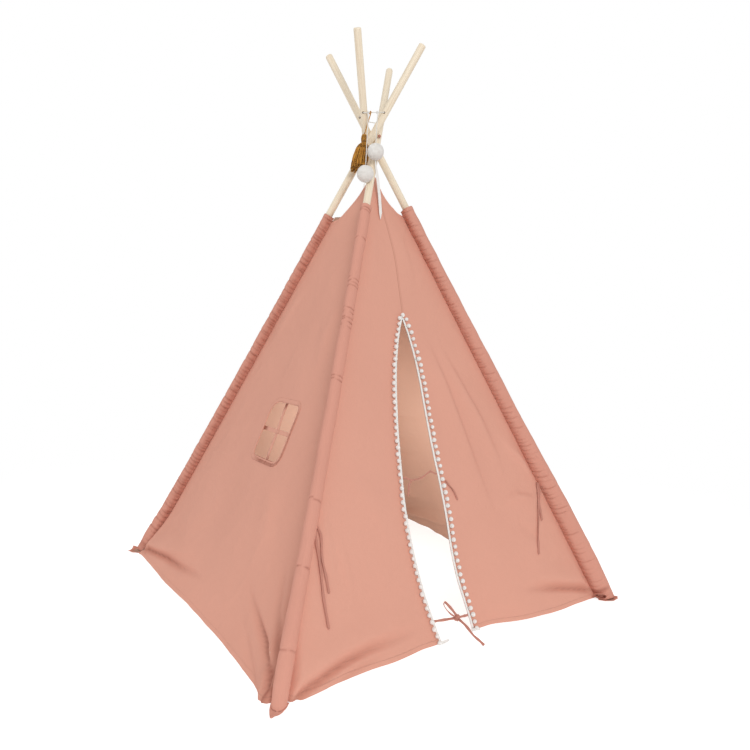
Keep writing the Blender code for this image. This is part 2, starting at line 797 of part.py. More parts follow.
def make_window(wall_item, surface):
    """Cuts the opening, and adds the stitched binding outside and the cross of bars inside."""
    cutter = bmesh.new()
    reach = wall_normal(3) * BINDING_WIDTH
    outline = [offset_point(3, *spot) for spot in window_outline(0)]
    loft(cutter, [[point - reach for point in outline], [point + reach for point in outline]])
    subtract(wall_item, cutter, "window_opening")

    binding = bmesh.new()
    rings = []
    for inner, outer in zip(window_outline(0), window_outline(BINDING_WIDTH)):
        ring = []
        for spot, lift in ((inner, GAP), (outer, GAP), (outer, GAP + CLOTH), (inner, GAP + CLOTH)):
            ring.append(lifted(surface, 3, *spot, lift + GAP * 1.7))
        rings.append(ring)
    loft(binding, rings, looped=True)
    add_object("window_binding", binding, "cloth")

    bars = bmesh.new()
    half_bar = BAR_WIDTH / 2
    side = WINDOW_WIDTH / 2 + BAR_LAP
    rise = (WINDOW_HEIGHT / 2 + BAR_LAP) * slope_share()
    cross = [(-side, -half_bar), (-half_bar, -half_bar), (-half_bar, -rise), (half_bar, -rise)]
    cross += [(half_bar, -half_bar), (side, -half_bar), (side, half_bar), (half_bar, half_bar)]
    cross += [(half_bar, rise), (-half_bar, rise), (-half_bar, half_bar), (-side, half_bar)]
    spots = [(WINDOW_OFFSET + x, WINDOW_DISTANCE + y) for x, y in cross]
    depth = CLOTH + GAP * 2.5
    loft(bars, [[offset_point(3, *spot, -level) for spot in spots] for level in (depth + CLOTH, depth)])
    add_object("window_bars", bars, "cloth")


def slope_share():
    """Distance along a pole for each unit of height up the wall's own slope."""
    lean = math.atan2(BASE / 2, CROSSING_HEIGHT)
    return math.cos(lean) / POLES[0].axis.z


def window_outline(grow):
    """The opening's rounded outline, as (offset, along) spots, grown by a width."""
    half_width = WINDOW_WIDTH / 2
    half_height = WINDOW_HEIGHT / 2
    radius = WINDOW_CORNER + grow
    steps = 3
    spots = []
    for corner in range(4):
        turn = QUARTER * corner
        x_side = 1 if corner in (0, 3) else -1
        y_side = 1 if corner in (0, 1) else -1
        for k in range(steps + 1):
            angle = turn + QUARTER * k / steps
            x = x_side * (half_width - WINDOW_CORNER) + radius * math.cos(angle)
            y = y_side * (half_height - WINDOW_CORNER) + radius * math.sin(angle)
            spots.append((WINDOW_OFFSET + x, WINDOW_DISTANCE + y * slope_share()))
    return split_sides(spots, WINDOW_SIDE_STEPS)


def split_sides(spots, steps):
    """Adds even points along the long sides of a closed outline."""
    longest = max(math.dist(a, b) for a, b in zip(spots, spots[1:] + spots[:1]))
    full = []
    for a, b in zip(spots, spots[1:] + spots[:1]):
        count = steps if math.dist(a, b) > longest / 2 else 1
        full += [(a[0] + (b[0] - a[0]) * k / count, a[1] + (b[1] - a[1]) * k / count) for k in range(count)]
    return full


def hanging(across, out, height):
    """A place beside the frame's axis, by its offsets across and along the facing direction."""
    angle = math.radians(FACING_DEG)
    face = Vector((math.cos(angle), math.sin(angle), 0))
    right = UP.cross(face)
    return right * across + face * out + UP * height


def hung_place(spec):
    """The place of something that hangs a stated drop below the tie cord's holes."""
    return hanging(spec["across"], spec["out"], HOLE_HEIGHT - spec["drop"])


def hole_mouth(corner, sign):
    """The point where the tie cord turns just outside a pole's hole, at its front or back."""
    reach = POLE_RADIUS + TIE_CORD_DIAMETER / 2 + TIE_CORD_STANDOFF
    return hole_middle(corner) + hole_direction(corner) * reach * sign


def rounded_loop(stops, bend):
    """A closed route through the stops with its turns softened."""
    route = []
    for k, stop in enumerate(stops):
        before = stop + (stops[k - 1] - stop).normalized() * bend
        after = stop + (stops[(k + 1) % len(stops)] - stop).normalized() * bend
        route += [before, (before + stop * 2 + after) / 4, after]
    return route


def make_tie_cord():
    """One loop of cord through the four holes, which stops the poles from spreading further."""
    front = [hole_mouth(corner, 1) for corner in range(4)]
    back = [hole_mouth(corner, -1) for corner in range(4)]
    stops = [back[2], front[2], front[3], back[3], front[0], back[0], back[1], front[1]]
    add_tube("tie_cord", rounded_loop(stops, TIE_CORD_BEND), TIE_CORD_DIAMETER, "string", cyclic=True)
    return front[2], front[3]


def span_place(span, across):
    """The place on the tie cord's front span that is a given distance across the frame's axis."""
    right = hanging(1, 0, 0)
    first, last = (place.dot(right) for place in span)
    return span[0].lerp(span[1], (across - first) / (last - first))


def knotted_route(span, place, target, diameter):
    """One turn round the tie cord at a place on it, then straight down to the target."""
    along = (span[1] - span[0]).normalized()
    down = target - place
    down = (down - along * down.dot(along)).normalized()
    level = along.cross(down)
    radius = (TIE_CORD_DIAMETER + diameter) / 2 + GAP * 2
    steps = 10
    turn = math.radians(300)
    route = []
    for k in range(steps + 1):
        angle = -QUARTER - turn * (1 - k / steps)
        shift = diameter * KNOT_PITCH_SHARE * (k / steps - 0.5)
        route.append(place + (down * math.cos(angle) + level * math.sin(angle)) * radius + along * shift)
    return route + [target]


def ribbon(name, route, widths, face, kind, parent):
    """A flat ribbon along a route, facing one way, with its own width at each point."""
    shape = bmesh.new()
    rings = []
    for k, place in enumerate(route):
        run = (route[min(k + 1, len(route) - 1)] - route[max(k - 1, 0)]).normalized()
        flat = (face - run * face.dot(run)).normalized()
        side = run.cross(flat) * widths[k] / 2
        lift = flat * RIBBON_THICKNESS / 2
        rings.append([place + side + lift, place - side + lift, place - side - lift, place + side - lift])
    loft(shape, rings)
    return add_object(name, shape, kind, parent)


def make_ball(name, spec, span, door_surface):
    """A felt ball on its string; the upper one ends in a ribbon and the lower in a short tail."""
    radius = BALL_DIAMETER / 2
    centre = hung_place(spec)
    knot = span_place(span, spec["across"])
    swing = pivot(f"swing_{name}", knot)
    shape = bmesh.new()
    bmesh.ops.create_uvsphere(
        shape, u_segments=ROUND_SIDES, v_segments=10, radius=radius, matrix=Matrix.Translation(centre)
    )
    smooth(add_object(name, shape, "felt", swing))
    target = centre + (knot - centre).normalized() * (radius + GAP * 2)
    route = knotted_route(span, knot, target, STRING_DIAMETER)
    add_tube(f"{name}_string", route, STRING_DIAMETER, "string", swing)
    bottom = centre - UP * (radius + GAP * 2)
    if name == "ball_upper":
        route = [bottom]
        route += [lifted(door_surface, 0, *spot) for spot in RIBBON_SPOTS]
        route = smooth_route(route, 3)
        widths = [RIBBON_WIDTH * min(RIBBON_NECK_SHARE + k / 5, 1) for k in range(len(route))]
        widths[-1] = RIBBON_WIDTH * RIBBON_NECK_SHARE
        ribbon("ball_upper_ribbon", route, widths, wall_normal(0), "string", swing)
    else:
        end = bottom + hanging(-SHORT_TAIL_LENGTH / 4, SHORT_TAIL_LENGTH / 4, -SHORT_TAIL_LENGTH)
        route = smooth_route([bottom, bottom.lerp(end, 0.5), end], 2)
        widths = [SHORT_TAIL_WIDTH] * len(route)
        ribbon("ball_lower_tail", route, widths, hanging(0, 1, 0), "string", swing)


def ellipse_ring(centre, width, depth, lobes=0, lobe_depth=0, sides=ROUND_SIDES):
    """A level ring that is wide across and shallow along the facing direction."""
    across, out = hanging(1, 0, 0), hanging(0, 1, 0)
    ring = []
    for k in range(sides):
        angle = 2 * math.pi * k / sides
        wave = lobe_depth * math.cos(lobes * angle)
        ring.append(
            centre + across * math.cos(angle) * (width / 2 + wave) + out * math.sin(angle) * (depth / 2 + wave)
        )
    return ring


def make_tassel(span):
    """A yarn tassel: its hanging loop, bound head and lobed skirt."""
    head = hung_place(TASSEL_HEAD)
    tip = head + hanging(TASSEL_TIP["across"], TASSEL_TIP["out"], -TASSEL_TIP["drop"])
    knot = span_place(span, TASSEL_LOOP_ACROSS)
    swing = pivot("swing_tassel", knot)
    half = TASSEL_HEAD_HEIGHT / 2
    steps = 6
    cap = half * math.cos(math.pi / steps) + GAP
    shape = bmesh.new()
    rings = []
    for k in range(1, steps):
        angle = math.pi * k / steps
        size = TASSEL_HEAD_DIAMETER * math.sin(angle)
        rings.append(ellipse_ring(head + UP * half * math.cos(angle), size, size, sides=12))
    loft(shape, rings)
    smooth(add_object("tassel_head", shape, "yarn", swing))
    shape = bmesh.new()
    top = head - UP * cap
    rings = []
    for share, width_share in TASSEL_PROFILE:
        rings.append(
            ellipse_ring(
                top.lerp(tip, share),
                TASSEL_SKIRT_WIDTH * width_share,
                TASSEL_SKIRT_DEPTH * width_share,
                TASSEL_LOBES,
                TASSEL_LOBE_DEPTH * width_share,
                TASSEL_LOBES * 4,
            )
        )
    loft(shape, rings)
    smooth(add_object("tassel_skirt", shape, "yarn", swing), 60)
    target = head + UP * (cap + GAP)
    route = knotted_route(span, knot, target, TASSEL_LOOP_DIAMETER)
    add_tube("tassel_loop", route, TASSEL_LOOP_DIAMETER, "yarn", swing)


def on_cloth(surface, spots, diameter=TIE_DIAMETER):
    """Places of a cord that lies on a panel's outer face."""
    return [lifted(surface, 0, offset, along, GAP * 2 + diameter / 2) for offset, along in spots]


def across_slit(spots):
    """Places of a cord that runs free across the slit, by offset, distance up and lift."""
    return [offset_point(0, offset, along, lift) for offset, along, lift in spots]


def sewn_end(side, along):
    """The first two places of a tie that is sewn square to the slit's tape, left or right."""
    edge = slit_offsets(along)[side]
    sign = 1 if side == 0 else -1
    lift = GAP + TAPE_THICKNESS / 2
    return [offset_point(0, edge + sign * reach, along, lift) for reach in (GAP * 3.6, GAP * 3.6 + TIE_DIAMETER)]


def make_ties(door_surface, flap_surfaces, flap_pivots, hinges):
    """Cloth ties: tie-backs sewn beside the front pockets, middle ties, and the bow near the hem."""
    left_pivot, right_pivot = flap_pivots
    steps = 4
    for name, spots in TIE_BACKS.items():
        hinge = hinges[0] if "left" in name else hinges[1]
        add_tube(name, smooth_route(on_cloth(door_surface, spots), steps), TIE_DIAMETER, "cloth", hinge)
    right = smooth_route(on_cloth(flap_surfaces[1], MIDDLE_TIE_OUTER), steps)
    add_tube("middle_tie_outer", right, TIE_DIAMETER, "cloth", right_pivot)
    inner = smooth_route([*sewn_end(1, MIDDLE_TIE_RISE), *across_slit(MIDDLE_TIE_INNER)], steps)
    add_tube("middle_tie_inner", inner, TIE_DIAMETER, "cloth", right_pivot)
    left = smooth_route([*sewn_end(0, MIDDLE_TIE_RISE), *across_slit(MIDDLE_TIE_LEFT)], steps)
    add_tube("middle_tie_left", left, TIE_DIAMETER, "cloth", left_pivot)
    knot = offset_point(0, *BOW_KNOT)
    shape = bmesh.new()
    bmesh.ops.create_uvsphere(
        shape, u_segments=10, v_segments=6, radius=KNOT_DIAMETER / 2, matrix=Matrix.Translation(knot)
    )
    smooth(add_object("bow_knot", shape, "cloth", right_pivot))
    start = KNOT_DIAMETER / 2 + GAP * 2
    for name, spots in BOW_STRANDS.items():
        places = across_slit(spots)
        places[0] = knot + (places[0] - knot).normalized() * start
        if name in ("bow_left", "bow_right"):
            places += reversed(sewn_end(0 if name == "bow_left" else 1, BOW_RISE))
        if name == "bow_loop":
            places[-1] = knot + (places[-1] - knot).normalized() * start
        parent = left_pivot if name == "bow_left" else right_pivot
        add_tube(name, smooth_route(places, steps), TIE_DIAMETER, "cloth", parent)


def main():
    clear_scene()
    hinges = [pivot(f"hinge_{CORNERS[c]}", POLES[c].crossing) for c in range(4)]
    for corner, hinge in enumerate(hinges):
        make_pole(corner, hinge)
        make_sleeve(corner, hinge)
        make_foot_flap(corner, hinge)
    _, door_surface = make_door_wall()
    for wall in (1, 2):
        make_plain_wall(wall)
    window_item, window_surface = make_plain_wall(3)
    make_window(window_item, window_surface)
    pivots = [
        pivot(f"fold_{name}", offset_point(0, fold_offsets(FLAP_TOP)[side], FLAP_TOP))
        for side, name in enumerate(("left", "right"))
    ]
    surfaces = [make_flap(f"door_flap_{name}", side, pivots[side])[1] for side, name in enumerate(("left", "right"))]
    steps = 18
    for side, name in enumerate(("left", "right")):
        path = edge_path(side, HEM + TRIM_RISE, FLAP_TOP - GAP * 2, steps)
        make_trim(f"trim_{name}", [surfaces[side]], path, pivots[side])
    make_trim("trim_top", [door_surface], top_path(), None)
    span = make_tie_cord()
    make_ball("ball_upper", UPPER_BALL, span, door_surface)
    make_ball("ball_lower", LOWER_BALL, span, door_surface)
    make_tassel(span)
    make_ties(door_surface, surfaces, pivots, hinges)


main()
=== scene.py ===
# %% [markdown]
# # A kids teepee, dressed around its working frame
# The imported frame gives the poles, their joints and plain solids for every piece of cloth.
# This lesson replaces the cloth, yarn and felt by pieces with their real surface, and finishes
# the wood and metal that the frame already shapes well. All sizes are in metres.

# %% Load the frame
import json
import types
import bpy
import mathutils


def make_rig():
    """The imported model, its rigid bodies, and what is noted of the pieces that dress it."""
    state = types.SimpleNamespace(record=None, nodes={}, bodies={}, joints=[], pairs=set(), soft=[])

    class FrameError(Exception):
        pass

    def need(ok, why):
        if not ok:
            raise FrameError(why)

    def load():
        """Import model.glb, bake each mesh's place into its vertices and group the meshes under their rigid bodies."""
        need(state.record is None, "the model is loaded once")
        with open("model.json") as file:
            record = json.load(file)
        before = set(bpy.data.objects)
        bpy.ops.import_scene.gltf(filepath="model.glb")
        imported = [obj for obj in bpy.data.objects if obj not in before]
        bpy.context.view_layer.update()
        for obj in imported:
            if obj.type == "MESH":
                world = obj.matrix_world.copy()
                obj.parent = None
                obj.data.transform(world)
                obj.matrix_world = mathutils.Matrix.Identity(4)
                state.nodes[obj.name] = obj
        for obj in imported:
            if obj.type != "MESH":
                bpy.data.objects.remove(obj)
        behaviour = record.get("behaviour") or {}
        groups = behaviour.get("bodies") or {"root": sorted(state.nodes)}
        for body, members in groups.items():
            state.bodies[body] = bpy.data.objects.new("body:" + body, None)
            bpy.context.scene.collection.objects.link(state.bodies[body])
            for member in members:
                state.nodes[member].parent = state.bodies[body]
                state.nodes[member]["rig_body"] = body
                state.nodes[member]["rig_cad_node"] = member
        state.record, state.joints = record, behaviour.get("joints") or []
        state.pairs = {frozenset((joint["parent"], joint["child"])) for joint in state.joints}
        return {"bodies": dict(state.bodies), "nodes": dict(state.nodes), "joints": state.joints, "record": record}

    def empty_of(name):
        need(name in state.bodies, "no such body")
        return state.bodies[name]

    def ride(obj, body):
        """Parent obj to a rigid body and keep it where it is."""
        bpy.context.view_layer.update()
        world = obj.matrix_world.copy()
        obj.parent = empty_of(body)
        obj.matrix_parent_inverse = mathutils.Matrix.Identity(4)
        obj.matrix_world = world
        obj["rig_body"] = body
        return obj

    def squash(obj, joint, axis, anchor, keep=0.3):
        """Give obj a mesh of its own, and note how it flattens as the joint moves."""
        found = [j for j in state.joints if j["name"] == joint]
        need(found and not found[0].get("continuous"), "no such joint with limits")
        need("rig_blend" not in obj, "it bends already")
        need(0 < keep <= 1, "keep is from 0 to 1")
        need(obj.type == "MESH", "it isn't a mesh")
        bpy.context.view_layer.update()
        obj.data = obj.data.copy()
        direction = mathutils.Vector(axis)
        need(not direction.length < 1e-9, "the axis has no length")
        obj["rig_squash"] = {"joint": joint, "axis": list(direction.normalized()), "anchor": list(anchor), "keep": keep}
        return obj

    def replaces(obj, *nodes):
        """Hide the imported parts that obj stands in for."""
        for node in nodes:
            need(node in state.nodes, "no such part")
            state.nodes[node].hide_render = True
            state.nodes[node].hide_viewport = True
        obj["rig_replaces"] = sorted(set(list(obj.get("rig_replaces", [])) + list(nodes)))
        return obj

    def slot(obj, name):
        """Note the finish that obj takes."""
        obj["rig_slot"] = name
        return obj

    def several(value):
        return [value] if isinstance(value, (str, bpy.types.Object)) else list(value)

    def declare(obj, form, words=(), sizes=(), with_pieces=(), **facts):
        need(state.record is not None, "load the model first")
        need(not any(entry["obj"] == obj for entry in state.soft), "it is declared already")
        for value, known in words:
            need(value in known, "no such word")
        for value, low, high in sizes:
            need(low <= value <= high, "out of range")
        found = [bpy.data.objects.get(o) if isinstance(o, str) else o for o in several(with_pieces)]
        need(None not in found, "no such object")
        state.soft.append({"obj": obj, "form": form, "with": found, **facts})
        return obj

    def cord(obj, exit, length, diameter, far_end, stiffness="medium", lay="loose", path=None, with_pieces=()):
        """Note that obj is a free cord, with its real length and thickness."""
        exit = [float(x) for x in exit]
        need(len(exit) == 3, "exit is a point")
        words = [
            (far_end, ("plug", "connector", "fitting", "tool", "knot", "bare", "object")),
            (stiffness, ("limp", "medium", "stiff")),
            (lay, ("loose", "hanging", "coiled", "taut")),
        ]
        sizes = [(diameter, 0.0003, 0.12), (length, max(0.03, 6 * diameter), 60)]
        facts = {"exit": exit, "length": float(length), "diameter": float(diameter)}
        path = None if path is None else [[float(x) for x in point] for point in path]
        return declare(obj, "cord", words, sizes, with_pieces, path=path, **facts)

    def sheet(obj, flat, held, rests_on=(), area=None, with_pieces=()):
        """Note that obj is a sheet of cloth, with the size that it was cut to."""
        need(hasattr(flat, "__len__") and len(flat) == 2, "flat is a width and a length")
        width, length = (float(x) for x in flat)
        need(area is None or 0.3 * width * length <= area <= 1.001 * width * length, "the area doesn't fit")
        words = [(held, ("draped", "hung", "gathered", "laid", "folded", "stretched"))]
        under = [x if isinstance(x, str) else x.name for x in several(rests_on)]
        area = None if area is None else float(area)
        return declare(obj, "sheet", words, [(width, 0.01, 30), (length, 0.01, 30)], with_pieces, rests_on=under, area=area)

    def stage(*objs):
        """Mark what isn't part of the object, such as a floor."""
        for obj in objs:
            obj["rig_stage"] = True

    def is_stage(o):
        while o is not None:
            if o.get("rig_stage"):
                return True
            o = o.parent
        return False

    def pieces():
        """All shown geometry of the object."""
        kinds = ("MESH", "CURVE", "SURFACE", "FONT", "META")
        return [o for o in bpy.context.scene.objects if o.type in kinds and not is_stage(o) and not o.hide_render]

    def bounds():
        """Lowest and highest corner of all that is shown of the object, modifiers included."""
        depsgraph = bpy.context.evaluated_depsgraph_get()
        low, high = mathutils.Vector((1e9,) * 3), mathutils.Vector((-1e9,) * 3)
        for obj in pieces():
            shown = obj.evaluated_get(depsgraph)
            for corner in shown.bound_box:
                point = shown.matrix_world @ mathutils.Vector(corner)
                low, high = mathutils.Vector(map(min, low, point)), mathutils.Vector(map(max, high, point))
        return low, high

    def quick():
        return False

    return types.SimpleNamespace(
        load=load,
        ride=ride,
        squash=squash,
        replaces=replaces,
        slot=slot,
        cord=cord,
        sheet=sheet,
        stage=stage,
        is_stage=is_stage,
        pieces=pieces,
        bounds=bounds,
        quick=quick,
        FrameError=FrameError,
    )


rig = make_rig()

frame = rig.load()

import json
import math

import bmesh
import bpy
import numpy as np
from mathutils import Matrix, Vector

for spare in ("Cube", "Light", "Camera"):
    if spare in bpy.data.objects:
        bpy.data.objects.remove(bpy.data.objects[spare], do_unlink=True)
cad_box = [list(corner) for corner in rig.bounds()]
print("frame box", [[round(x, 3) for x in corner] for corner in cad_box])

# %% [markdown]
# ## Camera
# The photograph is taken from the left of the door, at about the height of a seated child, with a
# slight tilt of the horizon. A camera needs a place, a viewing direction and a sideways direction;
# the three directions become the columns of its rotation.

# %% Camera
LENS = 30.374
CAMERA_PLACE = (-1.0802, -1.6392, 0.7646)
CAMERA_FORWARD = Vector((0.5629, 0.8237, -0.0682)).normalized()
CAMERA_SIDEWAYS = Vector((0.826, -0.5627, 0.0325))
camera_data = bpy.data.cameras.new("photo_camera")
camera_data.lens, camera_data.sensor_width, camera_data.clip_start = LENS, 36, 0.05
camera = bpy.data.objects.new("photo_camera", camera_data)
bpy.context.scene.collection.objects.link(camera)
sideways = (CAMERA_SIDEWAYS - CAMERA_FORWARD * CAMERA_SIDEWAYS.dot(CAMERA_FORWARD)).normalized()
turn = Matrix((sideways, sideways.cross(CAMERA_FORWARD), -CAMERA_FORWARD)).transposed().to_4x4()
camera.matrix_world = Matrix.Translation(CAMERA_PLACE) @ turn
bpy.context.scene.camera = camera
print("camera height", round(camera.location.z, 3))

# %% [markdown]
# ## The frame's lines
# Four poles lean in from the corners of a square and cross near the top. Every sewn line follows
# one of them, so each pole gets a small class that turns a distance along it into a place.

# %% Sizes of the frame
BASE = 1.05
CROSSING_HEIGHT = 1.34
POLE_DIAMETER = 0.022
CROSSING_CLEARANCE = 0.0008
GAP = 0.0003
HOLE_HEIGHT = 1.414
CLOTH = 0.001
HEM_HEIGHT = 0.0008
SEAM_DEPTH = 0.019
SEAM_THICKNESS = 0.003
FOOT_THICKNESS = 0.002
QUARTER = math.pi / 2
UP = Vector((0, 0, 1))
CORNERS = ("front_left", "front_right", "back_right", "back_left")
POLE_BODIES = [f"pole_{name}" for name in CORNERS]
WALLS = ("door", "right", "back", "window")


# %% A pole's line
class Pole:
    """One pole's line, from its foot on the floor through its place in the crossing."""

    def __init__(self, corner):
        angle = math.radians(225) + QUARTER * corner
        self.outward = Vector((math.cos(angle), math.sin(angle), 0))
        self.sideways = Vector((-math.sin(angle), math.cos(angle), 0))
        lean = math.atan2(BASE / math.sqrt(2), CROSSING_HEIGHT)
        spread = math.sqrt(1 + math.cos(lean) ** 2) / (2 * math.cos(lean))
        offset = (POLE_DIAMETER + CROSSING_CLEARANCE) * spread
        self.foot = self.outward * BASE / math.sqrt(2)
        self.crossing = self.sideways * offset + UP * CROSSING_HEIGHT
        self.axis = (self.crossing - self.foot).normalized()
        self.out = (self.outward - self.axis * self.outward.dot(self.axis)).normalized()
        self.side = self.axis.cross(self.out)

    def point(self, along, out=0, side=0):
        return self.foot + self.axis * along + self.out * out + self.side * side

    def at_height(self, height, out=0, side=0):
        return (height - out * self.out.z - side * self.side.z) / self.axis.z


POLES = [Pole(corner) for corner in range(4)]
HEM = POLES[0].at_height(HEM_HEIGHT, -SEAM_DEPTH)
TOP = (POLES[0].crossing - POLES[0].foot).length
THROUGH = POLES[0].outward
print("each pole crosses", round(TOP, 3), "m from its foot")

# %% [markdown]
# ## The walls as formulas
# A wall hangs between two pockets. Its shape is a flat trapezoid plus what the cloth does: the hem
# bows, soft folds rise from it and creases run up from each foot. Writing it as a formula over
# whole arrays of places is fast, and everything sewn on the wall can ask it where the cloth is.

# %% Drape
HEM_BOW = {"door": -0.028, "right": -0.042, "back": -0.02, "window": 0.022}
FOLD_DEPTH = 0.009
FOLD_COUNT = {"door": 2.5, "right": 3.0, "back": 2.5, "window": 2.0}
CREASE_DEPTH = 0.008
CREASE_WIDTH = 0.045
CREASE_RISE = 0.55
CREASE_LENGTH = 0.5
DOOR_TOP = 0.928
FLAP_TOP = 0.8
WINDOW_WIDTH = 0.15
WINDOW_HEIGHT = 0.163
WINDOW_CORNERS = (0.016, 0.04, 0.014, 0.028)
WINDOW_OFFSET = 0.054
WINDOW_DISTANCE = 0.563
BINDING_WIDTH = 0.013
HEM_DECAY = 0.09
HEM_LINES = {
    "door": [
        (0, 0), (0.01, 0.0158), (0.03, 0.0173), (0.054, 0.0146), (0.117, 0.0036), (0.196, -0.0033), (0.304, -0.006),
        (0.43, -0.0214), (0.549, -0.0325), (0.638, -0.019), (0.689, -0.0054), (0.828, 0.0055), (0.94, 0.0004),
        (0.976, -0.0009), (1, 0),
    ],
    "window": [
        (0, 0), (0.006, 0.033), (0.02, 0.0345), (0.05, 0.0341), (0.154, 0.0337), (0.24, 0.0356), (0.355, 0.0297),
        (0.433, 0.0249), (0.6, 0.0245), (0.753, 0.0205), (0.81, 0.0243), (0.907, 0.0304), (0.955, 0.0398),
        (0.978, 0.0477), (0.99, 0.047), (1, 0),
    ],
}
TOP_EDGES = {
    "door": [
        (0, 1.402), (0.14, 1.411), (0.27, 1.403), (0.45, 1.374), (0.58, 1.348), (0.7, 1.325), (0.79, 1.31),
        (0.88, 1.297), (1, 1.289),
    ],
    "right": [(0, 1.28), (0.2, 1.292), (0.36, 1.33), (0.5, 1.385), (0.64, 1.33), (0.8, 1.292), (1, 1.28)],
    "back": [(0, 1.28), (0.15, 1.3), (0.32, 1.352), (0.5, 1.322), (0.75, 1.29), (1, 1.28)],
    "window": [(0, 1.262), (0.175, 1.272), (0.372, 1.309), (0.58, 1.346), (0.725, 1.38), (0.85, 1.388), (1, 1.388)],
}
FLAP_FOLDS = ((-0.062, -0.32), (0.03, 0.27))
SLIT_TOP_OFFSET = -0.014
SLIT_BOW, SLIT_SWAY = 0.112, 0.009
SLIT_SHIFTS = (
    [(0, 0.013), (0.12, 0.007), (0.35, 0), (0.5, 0), (0.62, -0.005), (0.86, -0.016), (DOOR_TOP, SLIT_TOP_OFFSET)],
    [(0, 0.028), (0.12, 0.017), (0.35, 0.003), (0.5, 0), (0.62, -0.002), (0.86, -0.008), (DOOR_TOP, SLIT_TOP_OFFSET)],
)
print("window opening", WINDOW_WIDTH, "by", WINDOW_HEIGHT, "m")


# %% Seams and widths
def facing(wall):
    angle = -QUARTER + QUARTER * wall
    return np.array([round(math.cos(angle)), round(math.sin(angle)), 0.0])


def wall_normal(wall):
    lean = math.atan2(BASE / 2, CROSSING_HEIGHT)
    return facing(wall) * math.cos(lean) + np.array([0, 0, math.sin(lean)])


def seam_edge(corner, along, direction):
    """Where a wall's outer face starts beside a pocket's seam."""
    pole = POLES[corner % 4]
    start = pole.point(0, -SEAM_DEPTH, direction * (SEAM_THICKNESS / 2 + GAP))
    return np.array(start) + np.outer(np.atleast_1d(along), np.array(pole.axis))


def wall_width(wall, along):
    return np.linalg.norm(seam_edge(wall + 1, along, -1) - seam_edge(wall, along, 1), axis=1)


print("door wall half-way up", round(float(wall_width(0, 0.7)[0]), 3), "m wide")


# %% Fold lines and slit
def fold_offsets(along):
    """The two lines that the door flaps turn about, as offsets from the wall's middle."""
    share = (FLAP_TOP - along) / (FLAP_TOP - HEM)
    return tuple(top + (low - top) * share for top, low in FLAP_FOLDS)


def curve(x, places):
    """A smooth curve through places of (x, y), for arrays of x."""
    px, py = (np.array(column, float) for column in zip(*places))
    slopes = np.gradient(py, px)
    k = np.clip(np.searchsorted(px, x, side="right") - 1, 0, len(px) - 2)
    gap = px[k + 1] - px[k]
    t = np.clip((x - px[k]) / gap, 0, 1)
    a, b = py[k], py[k + 1]
    da, db = slopes[k] * gap, slopes[k + 1] * gap
    return a + t * da + t**2 * (3 * (b - a) - 2 * da - db) + t**3 * (2 * (a - b) + da + db)


def slit_offsets(along):
    """The slit's left and right edges, as offsets from the wall's middle."""
    along = np.asarray(along, float)
    share = np.clip((DOOR_TOP - along) / (DOOR_TOP - HEM), 0, 1)
    left = -SLIT_BOW * np.sin(math.pi * 0.74 * share**0.9)
    right = SLIT_SWAY * (1 - np.exp(-share / 0.06))
    right = right + SLIT_SWAY * np.cos(2 * math.pi * (share - 1) / 0.42) * share**2
    return left + curve(along, SLIT_SHIFTS[0]), right + curve(along, SLIT_SHIFTS[1])


print("slit at the flaps' top", [round(float(x), 3) for x in slit_offsets(FLAP_TOP)])


# %% Sag and bow of a wall
def smooth_step(share):
    share = np.clip(share, 0, 1)
    return share * share * (3 - 2 * share)


def flatness(wall, across, along):
    """Keeps the cloth plain where the door flaps turn and around the window."""
    name = WALLS[wall]
    width = wall_width(wall, along)
    offset = (across - 0.5) * width
    if name == "door":
        left, right = fold_offsets(along)
        ease = width / 2 - np.maximum(-left, right)
        beyond = np.maximum(np.maximum(left - offset, offset - right), 0)
        return smooth_step(beyond / np.maximum(ease, CLOTH))
    if name == "window":
        reach = WINDOW_WIDTH / 2 + BINDING_WIDTH
        away = np.maximum(np.abs(offset - WINDOW_OFFSET), np.abs(along - WINDOW_DISTANCE)) - reach
        return smooth_step(np.maximum(away, 0) / reach)
    return np.ones_like(across)


def drape(wall, across, along):
    """How far the cloth stands out from the flat wall."""
    name = WALLS[wall]
    rise = (along - HEM) / (TOP - HEM)
    middle = np.sin(math.pi * across)
    bow = HEM_BOW[name] * middle * (1 - rise) ** 3
    folds = FOLD_DEPTH * np.sin(2 * math.pi * FOLD_COUNT[name] * across) * middle * (1 - rise) ** 2
    crease = 0
    for side in (across, 1 - across):
        level = rise - CREASE_RISE * side
        reach = np.maximum(0, 1 - side / CREASE_LENGTH)
        crease = crease + CREASE_DEPTH * np.exp(-((level / CREASE_WIDTH) ** 2)) * reach * np.sin(math.pi * reach)
    return bow + (folds + crease) * flatness(wall, across, along)


def top_distance(wall, across):
    """The top edge: low beside a pocket, with a peak between two poles."""
    return curve(across, TOP_EDGES[WALLS[wall]])


print("hem width", round(float(wall_width(0, HEM)[0]), 3), "at", round(HEM, 4))

# %% [markdown]
# ## Wrinkles
# Real muslin is never smooth. Three kinds of wrinkle are added to the drape: named folds that the
# photograph shows, drawn as strokes on the wall; short puckers beside every gathered seam; and a
# faint all-over crumple from smooth noise. Strokes and noise are plain height functions.

# %% Noise and strokes
TABLE = np.random.default_rng(11).random((256, 256))


def smooth_noise(x, y, seed=0):
    """Smooth noise from -1 to 1 with features about one unit wide."""
    x, y = x + seed * 17.31 + 1000, y + seed * 9.17 + 1000
    i, j = np.floor(x).astype(int), np.floor(y).astype(int)
    u, v = smooth_step(x - i), smooth_step(y - j)
    a, b = TABLE[i % 256, j % 256], TABLE[(i + 1) % 256, j % 256]
    c, d = TABLE[i % 256, (j + 1) % 256], TABLE[(i + 1) % 256, (j + 1) % 256]
    return 2 * (a * (1 - u) * (1 - v) + b * u * (1 - v) + c * (1 - u) * v + d * u * v) - 1


